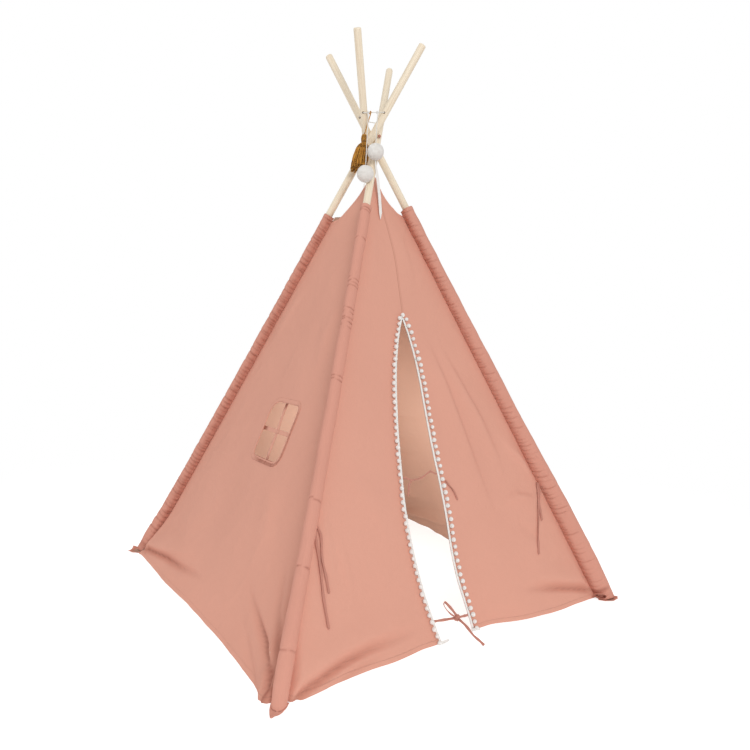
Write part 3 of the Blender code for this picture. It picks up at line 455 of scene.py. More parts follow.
def stroke(offset, along, line, depth, left_width, right_width, head=0.0):
    """A ridge (or valley, for a negative depth) along a line of (offset, distance) places.

    It fades at its far end, and at its near end too unless head is 1."""
    line = np.array(line, float)
    lengths = np.linalg.norm(np.diff(line, axis=0), axis=1)
    before = np.concatenate([[0], np.cumsum(lengths)])
    best, signed, share = np.full(offset.shape, 9.0), np.zeros(offset.shape), np.zeros(offset.shape)
    for k, (a, b) in enumerate(zip(line, line[1:])):
        run = (b - a) / lengths[k]
        x, y = offset - a[0], along - a[1]
        t = np.clip(x * run[0] + y * run[1], 0, lengths[k])
        dx, dy = x - run[0] * t, y - run[1] * t
        near = np.hypot(dx, dy)
        closer = near < best
        best = np.where(closer, near, best)
        signed = np.where(closer, np.sign(run[0] * dy - run[1] * dx) * near, signed)
        share = np.where(closer, (before[k] + t) / before[-1], share)
    width = np.where(signed > 0, left_width, right_width)
    fade = smooth_step((1 - share) / 0.6) * (head + (1 - head) * smooth_step(share / 0.3))
    return depth * np.exp(-((signed / width) ** 2)) * fade


# %% Named folds
# Each fold is its line, its depth, its widths to the left and right and how strongly it starts.
LEFT_CREASE = [
    (-0.5, 0.013), (-0.451, 0.027), (-0.4, 0.036), (-0.356, 0.043), (-0.283, 0.051), (-0.218, 0.057), (-0.1, 0.063),
]
RIGHT_CREASE = [(0.506, 0.034), (0.427, 0.054), (0.366, 0.068), (0.294, 0.08), (0.2, 0.09)]
FOLDS = {
    "door": [
        (LEFT_CREASE, -0.013, 0.012, 0.006, 1),
        ([(x, y + 0.032) for x, y in LEFT_CREASE], 0.011, 0.045, 0.014, 0.6),
        ([(-0.4, 0.012), (-0.33, 0.026), (-0.26, 0.038), (-0.2, 0.045)], -0.006, 0.01, 0.006, 0.2),
        (RIGHT_CREASE, -0.013, 0.007, 0.012, 1),
        ([(x, y + 0.03) for x, y in RIGHT_CREASE], 0.009, 0.015, 0.04, 0.6),
        (
            [(0.05, 0.89), (0.086, 0.738), (0.11, 0.629), (0.135, 0.514), (0.16, 0.4), (0.2, 0.25)],
            0.014, 0.012, 0.045, 0,
        ),
        ([(0.1, 0.85), (0.15, 0.72), (0.2, 0.6), (0.235, 0.48), (0.25, 0.36)], 0.011, 0.012, 0.035, 0),
        ([(0.385, 0.4), (0.302, 0.493), (0.25, 0.58)], 0.009, 0.01, 0.024, 0.4),
        ([(0.36, 0.34), (0.28, 0.36), (0.2, 0.33)], 0.009, 0.022, 0.008, 0.2),
        ([(0.34, 0.22), (0.28, 0.27), (0.24, 0.25)], -0.004, 0.018, 0.016, 0.2),
        ([(-0.3, 0.5), (-0.22, 0.42), (-0.17, 0.3), (-0.15, 0.16)], 0.006, 0.05, 0.03, 0),
        ([(-0.36, 0.42), (-0.35, 0.28), (-0.37, 0.14)], 0.004, 0.01, 0.016, 0),
        ([(-0.33, 0.36), (-0.31, 0.22), (-0.32, 0.1)], 0.0035, 0.012, 0.012, 0),
        ([(-0.05, 1.25), (-0.09, 1.1), (-0.12, 0.95)], 0.004, 0.03, 0.02, 0),
        ([(0.03, 1.26), (0.05, 1.12), (0.05, 0.99)], 0.003, 0.012, 0.03, 0),
    ],
    "window": [
        (
            [(-0.51, 0.026), (-0.474, 0.034), (-0.386, 0.049), (-0.302, 0.061), (-0.184, 0.07), (-0.081, 0.084),
             (0.045, 0.1)],
            -0.015, 0.012, 0.007, 1,
        ),
        ([(-0.5, 0.055), (-0.38, 0.07), (-0.26, 0.1), (-0.12, 0.13), (0, 0.17)], 0.009, 0.04, 0.014, 0.5),
        (
            [(0.495, 0.012), (0.486, 0.034), (0.456, 0.06), (0.401, 0.082), (0.342, 0.106), (0.266, 0.14),
             (0.195, 0.18)],
            -0.015, 0.01, 0.012, 1,
        ),
        (
            [(0.49, 0.04), (0.466, 0.074), (0.427, 0.112), (0.383, 0.163), (0.351, 0.224), (0.325, 0.291)],
            -0.011, 0.014, 0.012, 0.8,
        ),
        ([(0.5, 0.05), (0.46, 0.11), (0.42, 0.19), (0.36, 0.3)], -0.012, 0.02, 0.02, 0.6),
        ([(0.485, 0.02), (0.44, 0.07), (0.4, 0.14), (0.34, 0.24)], 0.01, 0.012, 0.012, 0.5),
        ([(0.49, 0.005), (0.43, 0.018), (0.36, 0.04), (0.27, 0.08), (0.2, 0.13)], -0.007, 0.014, 0.01, 0.6),
        ([(0.13, 0.43), (0.18, 0.36), (0.22, 0.28), (0.28, 0.2)], 0.009, 0.03, 0.045, 0.3),
        ([(-0.4, 0.16), (-0.3, 0.155), (-0.2, 0.18)], -0.007, 0.03, 0.02, 0.2),
        ([(-0.33, 0.52), (-0.2, 0.535), (-0.06, 0.55)], 0.003, 0.012, 0.014, 0.4),
        ([(-0.33, 0.42), (-0.22, 0.44), (-0.1, 0.47)], 0.003, 0.012, 0.014, 0.4),
        ([(-0.36, 0.345), (-0.26, 0.365), (-0.15, 0.4)], 0.0035, 0.014, 0.014, 0.4),
        ([(0.13, 1.0), (0.12, 0.86), (0.15, 0.7)], 0.006, 0.03, 0.03, 0),
        ([(-0.1, 1.05), (-0.15, 0.9), (-0.17, 0.78)], 0.004, 0.016, 0.03, 0),
    ],
}
for name, mirrored in (("right", "window"), ("back", "door")):
    FOLDS[name] = [
        ([(-x, y) for x, y in line], depth, right, left, head)
        for line, depth, left, right, head in FOLDS[mirrored]
    ]
print("named folds", {name: len(lines) for name, lines in FOLDS.items()})


# %% The finished surface of a wall
SEAM_FADE = 0.024
PUCKER_DEPTH, PUCKER_PITCH, PUCKER_REACH = 0.0022, 0.017, 0.03
CRUMPLE_DEPTHS = (0.0011, 0.0005, 0.0011)
VALLEY_DEPTH = -0.0105
DOOR_SEAM = [
    (0.9, -0.014), (0.948, -0.01), (1.037, -0.005), (1.129, 0.0), (1.222, -0.005), (1.268, -0.01), (1.4, -0.02),
]


def wrinkles(wall, across, along):
    """The height of folds, puckers and crumple together."""
    width = wall_width(wall, along)
    offset = (across - 0.5) * width
    to_seam = np.minimum(across, 1 - across) * width
    flat = flatness(wall, across, along)
    height = 0
    for line, depth, left, right, head in FOLDS[WALLS[wall]]:
        height = height + stroke(offset, along, line, depth, left, right, head)
    if WALLS[wall] == "window":
        height = height * (0.15 + 0.85 * flat)
    height = height * smooth_step(to_seam / SEAM_FADE)
    for side, seed in ((across, 1), (1 - across, 2)):
        beside = side * width
        run = along / PUCKER_PITCH + 0.6 * smooth_noise(along / 0.06, 0 * along, seed + wall * 3)
        pucker = np.abs(smooth_noise(run, beside / 0.09, seed + wall * 5)) ** 1.3
        patch = 0.45 + 0.55 * smooth_noise(along / 0.14, 0 * along, seed + 31 + wall)
        fade = np.exp(-beside / PUCKER_REACH) * smooth_step(beside / 0.006)
        height = height + PUCKER_DEPTH * pucker * patch * fade
    broad, fine, sharp = CRUMPLE_DEPTHS
    crumple = broad * smooth_noise(offset / 0.09 + along / 0.3, along / 0.16, 3 + wall)
    crumple = crumple + fine * smooth_noise(offset / 0.034, along / 0.05 - offset / 0.1, 7 + wall)
    ridged = 1 - np.abs(smooth_noise(offset / 0.075 - along / 0.12, along / 0.11 + offset / 0.15, 13 + wall))
    return height + (crumple + sharp * ridged**6) * (0.35 + 0.65 * flat) * smooth_step(to_seam / 0.02)


# %% Painted shade of the folds
def crease_shade(wall, across, along):
    """How deep inside a named valley a place lies, from 0 to 1, as painted shade for the cloth's colour; above the door
    it adds the centre seam's two dark lines.
    """
    offset = (across - 0.5) * wall_width(wall, along)
    shade = 0
    for line, depth, left, right, head in FOLDS[WALLS[wall]]:
        if depth < VALLEY_DEPTH:
            inside = stroke(offset, along, line, min(1, depth / -0.014), left * 0.8, right * 0.8, head)
            shade = shade + 0.26 * inside + 0.4 * inside**6
    # The centre seam above the slit adds two dark lines to the same field.
    if WALLS[wall] == "door":
        above = smooth_step((along - DOOR_TOP + 0.004) / 0.01)
        seam = curve(along, DOOR_SEAM)
        for strength, shift, width in ((0.5, 0, 0.0013), (0.3, 0.0045, 0.001)):
            shade = shade + above * strength * np.exp(-(((offset - seam - shift) / width) ** 2))
    return np.clip(shade, 0, 1)


# %% Places on a wall
def wall_points(wall, across, along, lift=0.0, detail=True):
    """Places on a wall's outer face, for arrays of shares across and distances along."""
    across, along = (np.atleast_1d(np.asarray(x, float)) for x in (across, along))
    across, along = np.broadcast_arrays(across, along)
    left, right = seam_edge(wall, along, 1), seam_edge(wall + 1, along, -1)
    out = drape(wall, across, along)
    place = left + (right - left) * across[:, None] + facing(wall) * out[:, None]
    if WALLS[wall] in HEM_LINES:
        shift = curve(across, HEM_LINES[WALLS[wall]]) - drape(wall, across, HEM + 0 * along)
        fade = np.exp(-((np.maximum(along - HEM, 0) / HEM_DECAY) ** 1.5))
        place = place + facing(wall) * (shift * fade)[:, None]
    if detail:
        low = np.exp(-(along - HEM) / 0.05) * np.sin(math.pi * across)
        offset = (across - 0.5) * wall_width(wall, along)
        rise = 0.0022 * (1 + smooth_noise(offset / 0.05, 0 * along, 41 + wall)) * low
        place = place + np.outer(rise, [0, 0, 1])
        lift = lift + wrinkles(wall, across, along)
        lift = lift + 0.0035 * smooth_noise(offset / 0.07, 0 * along, 43 + wall) * low
    return place + np.outer(np.broadcast_to(lift, along.shape), wall_normal(wall))


def offset_points(wall, offset, along, lift=0.0, detail=True):
    offset, along = (np.atleast_1d(np.asarray(x, float)) for x in (offset, along))
    offset, along = np.broadcast_arrays(offset, along)
    return wall_points(wall, 0.5 + offset / wall_width(wall, along), along, lift, detail)


def on_wall(wall, offset, along, lift=0.0, detail=True):
    return Vector(offset_points(wall, offset, along, lift, detail)[0])


print("door cloth at the slit's top", [round(x, 3) for x in on_wall(0, 0, DOOR_TOP)])

# %% [markdown]
# ## Cords
# Two felt balls and a tassel hang from a cord that runs through the four poles, and narrow cloth
# ties are sewn to the door. A cord is a fixed length along one smooth route, so each route is
# settled first, with the same places as the frame uses, and the tube is swept along it.


# %% Routes
def smooth_route(points, steps):
    """Points on a smooth curve through the given ones, with steps between each pair."""
    points = [Vector(p) for p in points]
    ends = [points[0] * 2 - points[1], *points, points[-1] * 2 - points[-2]]
    route = []
    for a, b, c, d in zip(ends, ends[1:], ends[2:], ends[3:]):
        for k in range(steps):
            s = k / steps
            bend = (a * 2 - b * 5 + c * 4 - d) * s**2 + (b * 3 - a - c * 3 + d) * s**3
            route.append((b * 2 + (c - a) * s + bend) / 2)
    return route + [points[-1].copy()]


def length_of(route):
    return sum((Vector(b) - Vector(a)).length for a, b in zip(route, route[1:]))


print("a step of 0.3 and 0.4 m is", length_of([Vector((0, 0, 0)), Vector((0.3, 0.4, 0))]), "m long")


# %% Objects and meshes
def new_object(name, mesh, materials=()):
    item = bpy.data.objects.new(name, mesh)
    bpy.context.scene.collection.objects.link(item)
    for made in materials:
        mesh.materials.append(made)
    return item


def mesh_from(name, points, faces, materials=(), smooth=True):
    mesh = bpy.data.meshes.new(name)
    mesh.from_pydata([tuple(p) for p in points], [], faces)
    if smooth:
        mesh.shade_smooth()
    return new_object(name, mesh, materials)


def baked(name, source):
    """Keeps the result of an object's modifiers as a plain mesh and removes the object."""
    ready = source.evaluated_get(bpy.context.evaluated_depsgraph_get())
    mesh = bpy.data.meshes.new_from_object(ready)
    bpy.data.objects.remove(source, do_unlink=True)
    mesh.name = name
    return new_object(name, mesh)


def quads(rows, ring, closed=False):
    """Faces between rows of points; each row is a ring, and closed joins the last row to the first."""
    faces = []
    for k in range(rows if closed else rows - 1):
        here, there = k * ring, (k + 1) % rows * ring
        for n in range(ring):
            m = (n + 1) % ring
            faces.append((here + n, here + m, there + m, there + n))
    return faces


# %% Swept pieces
def swept(name, route, section, face=None, materials=()):
    """A closed tube along a route; section gives (side, lift) pairs."""
    route = [Vector(p) for p in route]
    count, sides = len(route), len(section)
    normal = Vector(face) if face is not None else Vector((0.3, 0.5, 0.8))
    points = []
    for k, place in enumerate(route):
        run = (route[min(k + 1, count - 1)] - route[max(k - 1, 0)]).normalized()
        normal = (normal - run * normal.dot(run)).normalized()
        side = run.cross(normal)
        points += [place + side * x + normal * y for x, y in section]
    faces = quads(count, sides)
    points += [route[0], route[-1]]
    last = (count - 1) * sides
    for n in range(sides):
        m = (n + 1) % sides
        faces += [(len(points) - 2, m, n), (len(points) - 1, last + n, last + m)]
    item = mesh_from(name, points, faces, materials)
    outwards(item)
    return item


def outwards(item):
    """Merges doubles, then turns every face outwards."""
    shape = bmesh.new()
    shape.from_mesh(item.data)
    bmesh.ops.remove_doubles(shape, verts=shape.verts, dist=1e-6)
    bmesh.ops.recalc_face_normals(shape, faces=shape.faces)
    shape.to_mesh(item.data)
    shape.free()
    item.data.shade_smooth()


def face_outwards(item):
    """Turns all faces if the shell's volume comes out negative."""
    shape = bmesh.new()
    shape.from_mesh(item.data)
    if shape.calc_volume(signed=True) < 0:
        bmesh.ops.reverse_faces(shape, faces=shape.faces)
        shape.to_mesh(item.data)
    shape.free()


def oval(width, thickness, sides=10):
    turns = [2 * math.pi * (k + 0.5) / sides for k in range(sides)]
    return [(width / 2 * math.cos(a), thickness / 2 * math.sin(a)) for a in turns]


print("a helper sweeps a section of", len(oval(1, 1)), "points along a route")


# %% What every dressed piece carries
def set_field(item, label, values):
    """Stores one number for each point, for the material to read."""
    attribute = item.data.attributes.new(label, "FLOAT", "POINT")
    attribute.data.foreach_set("value", np.asarray(values, np.float32))


def set_uv(item, uv):
    """Gives the cloth its own UV map, in metres, from one place for each point."""
    mesh = item.data
    loops = np.zeros(len(mesh.loops), np.int32)
    mesh.loops.foreach_get("vertex_index", loops)
    mesh.uv_layers.new(name="cloth").data.foreach_set("uv", np.asarray(uv)[loops].ravel())


def scatter_uv(item, seed):
    """A narrow strip shows no threads that run on, so its map is scattered over a few of them."""
    layer = item.data.uv_layers.new(name="cloth")
    layer.data.foreach_set("uv", np.random.default_rng(seed).random(len(layer.data) * 2) * 0.004)


def dress(item, body, cad_name, slot):
    """The piece moves with a body, takes a plain solid's place and fills a material slot."""
    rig.ride(item, body)
    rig.replaces(item, cad_name)
    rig.slot(item, slot)


def declare_cord(item, route, diameter, lay="hanging", far_end="object", **more):
    """Declares a cord by the route that it was swept along."""
    length = round(length_of(route), 3)
    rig.cord(
        item, exit=route[0], length=length, diameter=diameter,
        far_end=far_end, stiffness="limp", lay=lay, path=route, **more,
    )
    print(item.name, length, "m")

# %% [markdown]
# ## Colour and surface
# Cloth, wood, felt and yarn each need their own fine surface. Effects that several materials use
# are node groups that only put out colours, masks and normals: a muslin group with threads, slubs
# and crinkles, and a fibre group for felt and yarn. The shader itself stays in each material.


# %% Node helpers
def new_tree(name, kind, inputs, outputs):
    """A node group with named inputs and outputs, and its two end nodes."""
    made = bpy.data.node_groups.new(name, kind)
    for label, socket_kind, value in inputs:
        socket = made.interface.new_socket(label, in_out="INPUT", socket_type=f"NodeSocket{socket_kind}")
        if value is not None:
            socket.default_value = value
    for label, socket_kind in outputs:
        made.interface.new_socket(label, in_out="OUTPUT", socket_type=f"NodeSocket{socket_kind}")
    return made, made.nodes.new("NodeGroupInput"), made.nodes.new("NodeGroupOutput")


def feed(tree, socket, value):
    """Links another socket to this one, or sets a plain value."""
    if isinstance(value, bpy.types.NodeSocket):
        tree.links.new(value, socket)
    else:
        socket.default_value = value


def node(tree, kind, settings=None, **inputs):
    """Adds a node: settings are its own options, inputs feed its sockets by name or by number, as i0."""
    made = tree.nodes.new(kind)
    for key, value in (settings or {}).items():
        setattr(made, key, value)
    for key, value in inputs.items():
        numbered = key[0] == "i" and key[1:].isdigit()
        feed(tree, made.inputs[int(key[1:]) if numbered else key.replace("_", " ")], value)
    return made


def noise(tree, place, scale, detail, **more):
    return node(tree, "ShaderNodeTexNoise", Vector=place, Scale=scale, Detail=detail, **more).outputs[0]


def maths(tree, operation, *values):
    made = node(tree, "ShaderNodeMath", {"operation": operation})
    for socket, value in zip(made.inputs, values):
        feed(tree, socket, value)
    return made.outputs[0]


def arithmetic(tree):
    """Adding, taking away and multiplying as three short calls."""
    return [lambda a, b, kind=kind: maths(tree, kind, a, b) for kind in ("ADD", "SUBTRACT", "MULTIPLY")]


def mixed(tree, factor, a, b, blend="MIX"):
    made = node(tree, "ShaderNodeMix", {"data_type": "RGBA", "blend_type": blend}, i0=factor, i6=a, i7=b)
    return made.outputs[2]


# %% Muslin group
def make_muslin():
    """Threads, slubs and crinkles over a cloth's own UV map, which is in metres, and painted shade where the cloth's
    field asks for it.
    """
    inputs = [
        ("Colour", "Color", (0.7, 0.4, 0.3, 1)), ("Variation", "Float", 0.1), ("Crinkle", "Float", 0.0012),
        ("Edge", "Float", 1.0), ("Hem Width", "Float", 0.012), ("Fold", "Float", 0.0),
    ]
    tree, start, end = new_tree("muslin", "ShaderNodeTree", inputs, [("Colour", "Color"), ("Normal", "Vector")])
    add, minus, times = arithmetic(tree)
    given = start.outputs
    uv = node(tree, "ShaderNodeUVMap", {"uv_map": "cloth"}).outputs[0]
    place = node(tree, "ShaderNodeTexCoord").outputs["Object"]
    weft = node(tree, "ShaderNodeMapping", i0=uv, Scale=(60, 900, 1)).outputs[0]
    warp = node(tree, "ShaderNodeMapping", i0=uv, Scale=(900, 60, 1)).outputs[0]
    slubs = add(noise(tree, weft, 1.0, 1.0), noise(tree, warp, 1.0, 1.0))
    crinkle = noise(tree, place, 38.0, 3.0, Roughness=0.55)
    crease = maths(tree, "ABSOLUTE", minus(crinkle, 0.5))
    broad = noise(tree, place, 5.0, 2.0)
    tone = add(times(add(times(minus(slubs, 1.0), 0.5), 0.5), 0.5), times(broad, 0.5))
    lighter = mixed(tree, 1.0, given["Colour"], (1.1, 1.09, 1.08, 1), "MULTIPLY")
    darker = mixed(tree, 1.0, given["Colour"], (0.86, 0.82, 0.8, 1), "MULTIPLY")
    colour = mixed(tree, given["Variation"], given["Colour"], mixed(tree, tone, darker, lighter))
    across_hem = minus(given["Edge"], given["Hem Width"])
    line = maths(tree, "LESS_THAN", maths(tree, "ABSOLUTE", across_hem), 0.0006)
    thread = node(tree, "ShaderNodeTexWave", {"wave_type": "BANDS"}, Vector=uv, Scale=70.0).outputs[1]
    stitch = times(line, maths(tree, "GREATER_THAN", thread, 0.35))
    colour = mixed(tree, times(line, 0.1), colour, (0.35, 0.16, 0.12, 1))
    colour = mixed(tree, times(stitch, 0.3), colour, lighter)
    # Painted shade: the colour is pulled towards this darker tint where the painted shade and seam field is high, in
    # creases, hollows and beside seams; the door's centre seam lines share the field.
    deep = mixed(tree, 1.0, colour, (0.5, 0.36, 0.33, 1), "MULTIPLY")
    colour = mixed(tree, given["Fold"], colour, deep)
    hem = node(tree, "ShaderNodeMapRange", i0=across_hem, i1=-0.001, i2=0.0015, i3=1.0, i4=0.0).outputs[0]
    folds = times(minus(crinkle, times(crease, 0.6)), given["Crinkle"])
    height = minus(add(add(times(slubs, 0.00012), folds), times(hem, 0.0005)), times(line, 0.0004))
    bump = node(tree, "ShaderNodeBump", Height=height, Strength=1.0, Distance=1.0)
    feed(tree, end.inputs["Colour"], colour)
    feed(tree, end.inputs["Normal"], bump.outputs[0])
    return tree


MUSLIN = make_muslin()
print("muslin group has", len(MUSLIN.nodes), "nodes")


# %% Fibre group
def make_fibres():
    """Short matted fibres, for felt, yarn, tape and cord."""
    inputs = [
        ("Colour", "Color", (0.8, 0.8, 0.8, 1)), ("Dark Colour", "Color", (0.6, 0.6, 0.6, 1)),
        ("Scale", "Float", 900.0), ("Depth", "Float", 0.0004),
    ]
    tree, start, end = new_tree("fibres", "ShaderNodeTree", inputs, [("Colour", "Color"), ("Normal", "Vector")])
    add, _, times = arithmetic(tree)
    given = start.outputs
    place = node(tree, "ShaderNodeTexCoord").outputs["Object"]
    fine = noise(tree, place, given["Scale"], 4.0, Distortion=1.5)
    share = times(add(fine, noise(tree, place, 90.0, 2.0)), 0.5)
    share = node(tree, "ShaderNodeMapRange", i0=share, i1=0.35, i2=0.65).outputs[0]
    bump = node(tree, "ShaderNodeBump", Height=times(share, given["Depth"]), Distance=1.0)
    feed(tree, end.inputs["Colour"], mixed(tree, share, given["Dark Colour"], given["Colour"]))
    feed(tree, end.inputs["Normal"], bump.outputs[0])
    return tree


FIBRES = make_fibres()
print("fibre group has", len(FIBRES.nodes), "nodes")


# %% Materials
def new_material(name, roughness, sheen=0.0, metallic=0.0, specular=0.5):
    made = bpy.data.materials.new(name)
    made.use_nodes = True
    shader = made.node_tree.nodes["Principled BSDF"]
    values = {"Roughness": roughness, "Metallic": metallic, "Specular IOR Level": specular}
    if sheen:
        values.update({"Sheen Weight": sheen, "Sheen Roughness": 0.6})
    for label, value in values.items():
        shader.inputs[label].default_value = value
    return made, made.node_tree, shader


def placed_group(tree, shader, source, **values):
    """Puts a group in a material and joins its Colour and Normal to the shader."""
    made = node(tree, "ShaderNodeGroup", {"node_tree": source}, **values)
    feed(tree, shader.inputs["Base Color"], made.outputs["Colour"])
    feed(tree, shader.inputs["Normal"], made.outputs["Normal"])


def cloth_material(name, colour, variation=0.55, crinkle=0.0011, hem=0.012):
    made, tree, shader = new_material(name, 0.88, specular=0.25)
    # Besides its way to an edge, the cloth reads a field of painted shade and seam lines that darkens its colour.
    edge, fold = (
        node(tree, "ShaderNodeAttribute", {"attribute_name": label}).outputs["Fac"] for label in ("edge", "fold")
    )
    placed_group(
        tree, shader, MUSLIN, Colour=(*colour, 1), Variation=variation, Crinkle=crinkle,
        Edge=edge, Hem_Width=hem, Fold=fold,
    )
    return made


def fibre_material(name, colour, dark, scale, depth, sheen=0.4):
    made, tree, shader = new_material(name, 0.95, sheen, specular=0.15)
    placed_group(tree, shader, FIBRES, Colour=(*colour, 1), Dark_Colour=(*dark, 1), Scale=scale, Depth=depth)
    return made


PINK_CLOTH = cloth_material("pink_muslin", (0.73, 0.367, 0.277))
# The inner skin is the same muslin, given a paler tan that paints the light coming through the cloth into the shaded
# inside.
PINK_INSIDE = cloth_material("muslin_inside", (0.62, 0.42, 0.325))
# The pockets are the same muslin, a darker copy that paints the shade on the gathered sleeves.
POCKET_CLOTH = cloth_material("pocket_muslin", (0.69, 0.33, 0.252), variation=0.7)
# The ties are the same muslin too, a much darker copy that paints the shade on the narrow strips.
TIE_CLOTH = cloth_material("tie_muslin", (0.54, 0.245, 0.19), crinkle=0.0006, hem=0.0)
FELT = fibre_material("white_felt", (0.88, 0.85, 0.81), (0.76, 0.72, 0.67), 700.0, 0.0006)
COTTON = fibre_material("white_cotton", (0.94, 0.92, 0.89), (0.86, 0.83, 0.79), 1500.0, 0.0003)
YARN = fibre_material("mustard_yarn", (0.7, 0.345, 0.055), (0.44, 0.18, 0.025), 1100.0, 0.0004, 0.1)
CORD = fibre_material("white_cord", (0.86, 0.85, 0.82), (0.68, 0.66, 0.62), 1800.0, 0.0002, 0.1)
print("materials", len(bpy.data.materials))

# %% [markdown]
# ### Wood
# Each pole is a turned stick, so its grain runs along its own leaning axis. A Mapping node turns
# the piece's Object coordinates until the pole stands upright, and long thin noise makes the grain.


# %% Wood and metal on the frame's own pieces
def make_wood(corner):
    pole = POLES[corner]
    made, tree, shader = new_material(f"pale_wood_{CORNERS[corner]}", 0.5)
    add, _, times = arithmetic(tree)
    upright = Matrix((pole.out, pole.side, pole.axis))
    place = node(tree, "ShaderNodeTexCoord").outputs["Object"]
    stood = node(tree, "ShaderNodeMapping", i0=place, Rotation=upright.to_euler("XYZ")).outputs[0]
    drawn = node(tree, "ShaderNodeMapping", i0=stood, Scale=(420, 420, 9)).outputs[0]
    grain = noise(tree, drawn, 1.0, 4.0, Roughness=0.6, Distortion=0.4)
    broad = node(tree, "ShaderNodeMapping", i0=stood, Scale=(60, 60, 2.5)).outputs[0]
    line = node(tree, "ShaderNodeMapRange", i0=grain, i1=0.42, i2=0.64).outputs[0]
    colour = mixed(tree, line, (0.89, 0.77, 0.595, 1), (0.76, 0.6, 0.42, 1))
    colour = mixed(tree, times(noise(tree, broad, 1.0, 2.0), 0.6), colour, (0.9, 0.81, 0.66, 1))
    bump = node(tree, "ShaderNodeBump", Height=times(grain, 0.00025), Distance=1.0)
    feed(tree, shader.inputs["Base Color"], colour)
    feed(tree, shader.inputs["Normal"], bump.outputs[0])
    feed(tree, shader.inputs["Roughness"], add(times(grain, 0.25), 0.35))
    return made


def make_metal():
    made, tree, shader = new_material("brushed_metal", 0.35, metallic=1.0)
    add, _, times = arithmetic(tree)
    place = node(tree, "ShaderNodeTexCoord").outputs["Object"]
    drawn = noise(tree, node(tree, "ShaderNodeMapping", i0=place, Scale=(300, 300, 2000)).outputs[0], 1.0, 2.0)
    feed(tree, shader.inputs["Base Color"], mixed(tree, drawn, (0.62, 0.63, 0.65, 1), (0.78, 0.79, 0.8, 1)))
    feed(tree, shader.inputs["Roughness"], add(times(drawn, 0.2), 0.25))
    return made


METAL = make_metal()
for corner, name in enumerate(CORNERS):
    wood = make_wood(corner)
    for node_name, finish in ((f"pole_lower_{name}", wood), (f"pole_upper_{name}", wood), (f"ferrule_{name}", METAL)):
        piece = frame["nodes"][node_name]
        piece.data.materials.clear()
        piece.data.materials.append(finish)
print("wood on", len(CORNERS) * 2, "pole halves")

# %% [markdown]
# ## The cord at the crossing, the balls' strings and the ribbon
# The tie cord is one length of cotton that goes through every pole and ends beside where it
# began. Each ball's string takes a turn round it. The ribbon under the upper ball lies flat on the
# door wall's peak.


# %% Places beside the frame's axis
FACING = math.radians(235.6)
FRONT = Vector((math.cos(FACING), math.sin(FACING), 0))


def hanging(across, out, height):
    """A place by its offsets across and along the direction that the hanging pieces face."""
    return UP.cross(FRONT) * across + FRONT * out + UP * height


TIE_CORD_DIAMETER = 0.0024
CORD_BEND = 0.003
STRING_DIAMETER = 0.0023
TIE_CORD_REACH = POLE_DIAMETER / 2 + TIE_CORD_DIAMETER / 2 + 0.0024


def bored(corner, reach):
    """A place on the line of a pole's bored hole, by its reach from the pole's own line."""
    pole = POLES[corner]
    through = (THROUGH - pole.axis * THROUGH.dot(pole.axis)).normalized()
    return pole.point(pole.at_height(HOLE_HEIGHT)) + through * reach


def rounded(stops, bend):
    """The route through stops with each corner eased by a bend."""
    route = []
    for k, stop in enumerate(stops):
        before = stop + (stops[k - 1] - stop).normalized() * bend
        after = stop + (stops[(k + 1) % len(stops)] - stop).normalized() * bend
        route += [before, (before + stop * 2 + after) / 4, after]
    return route


front = [bored(corner, TIE_CORD_REACH) for corner in range(4)]
back = [bored(corner, -TIE_CORD_REACH) for corner in range(4)]
loop = rounded([back[0], back[1], front[1], back[2], front[2], front[3], back[3], front[0]], CORD_BEND)
loop = loop[1:] + [loop[0] + (loop[1] - loop[0]) * 0.2]
tie_cord = swept("tie_cord_loop", loop, oval(TIE_CORD_DIAMETER, TIE_CORD_DIAMETER, 12), materials=[CORD])
dress(tie_cord, "canopy", "tie_cord", "string")
declare_cord(tie_cord, loop, TIE_CORD_DIAMETER, "taut")

# %% [markdown]
# ### Hole mouths
# Each hole's mouth lies in shadow round the cord. That shadow is painted: a dark disc half a
# millimetre thick stands in each mouth, wide enough to show past the cord.

# %% Painted shadow in the bored hole mouths
RIM_WIDTH, RIM_DEPTH = 0.0064, 0.0005
# Painted shadow: near-black speckled discs where the hole mouths lie in shadow round the cord.
DARK_WOOD, tree, shader = new_material("scorched_wood", 0.9)
char = noise(tree, node(tree, "ShaderNodeTexCoord").outputs["Object"], 900.0, 2.0)
feed(tree, shader.inputs["Base Color"], mixed(tree, char, (0.05, 0.03, 0.02, 1), (0.2, 0.11, 0.06, 1)))
for corner, name in enumerate(CORNERS):
    places = [bored(corner, POLE_DIAMETER / 2 - depth) for depth in (RIM_DEPTH, 0)]
    rim = swept(f"hole_rim_{name}", places, oval(RIM_WIDTH, RIM_WIDTH, 20), POLES[corner].axis, [DARK_WOOD])
    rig.ride(rim, POLE_BODIES[corner])
    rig.slot(rim, "wood")
print("hole mouths", len(CORNERS))

# %% [markdown]
# ### Strings
# Each string is tied to the cord by one turn round it and then hangs straight to its ball.

# %% Strings that take a turn round the tie cord
SPAN = (front[2], front[3])
TURN_ROUND, TURN_STEPS = math.radians(300), 24


def span_place(across):
    """The place across on the stretch of cord between the two back poles."""
    right = hanging(1, 0, 0)
    first, last = (place.dot(right) for place in SPAN)
    return SPAN[0].lerp(SPAN[1], (across - first) / (last - first))


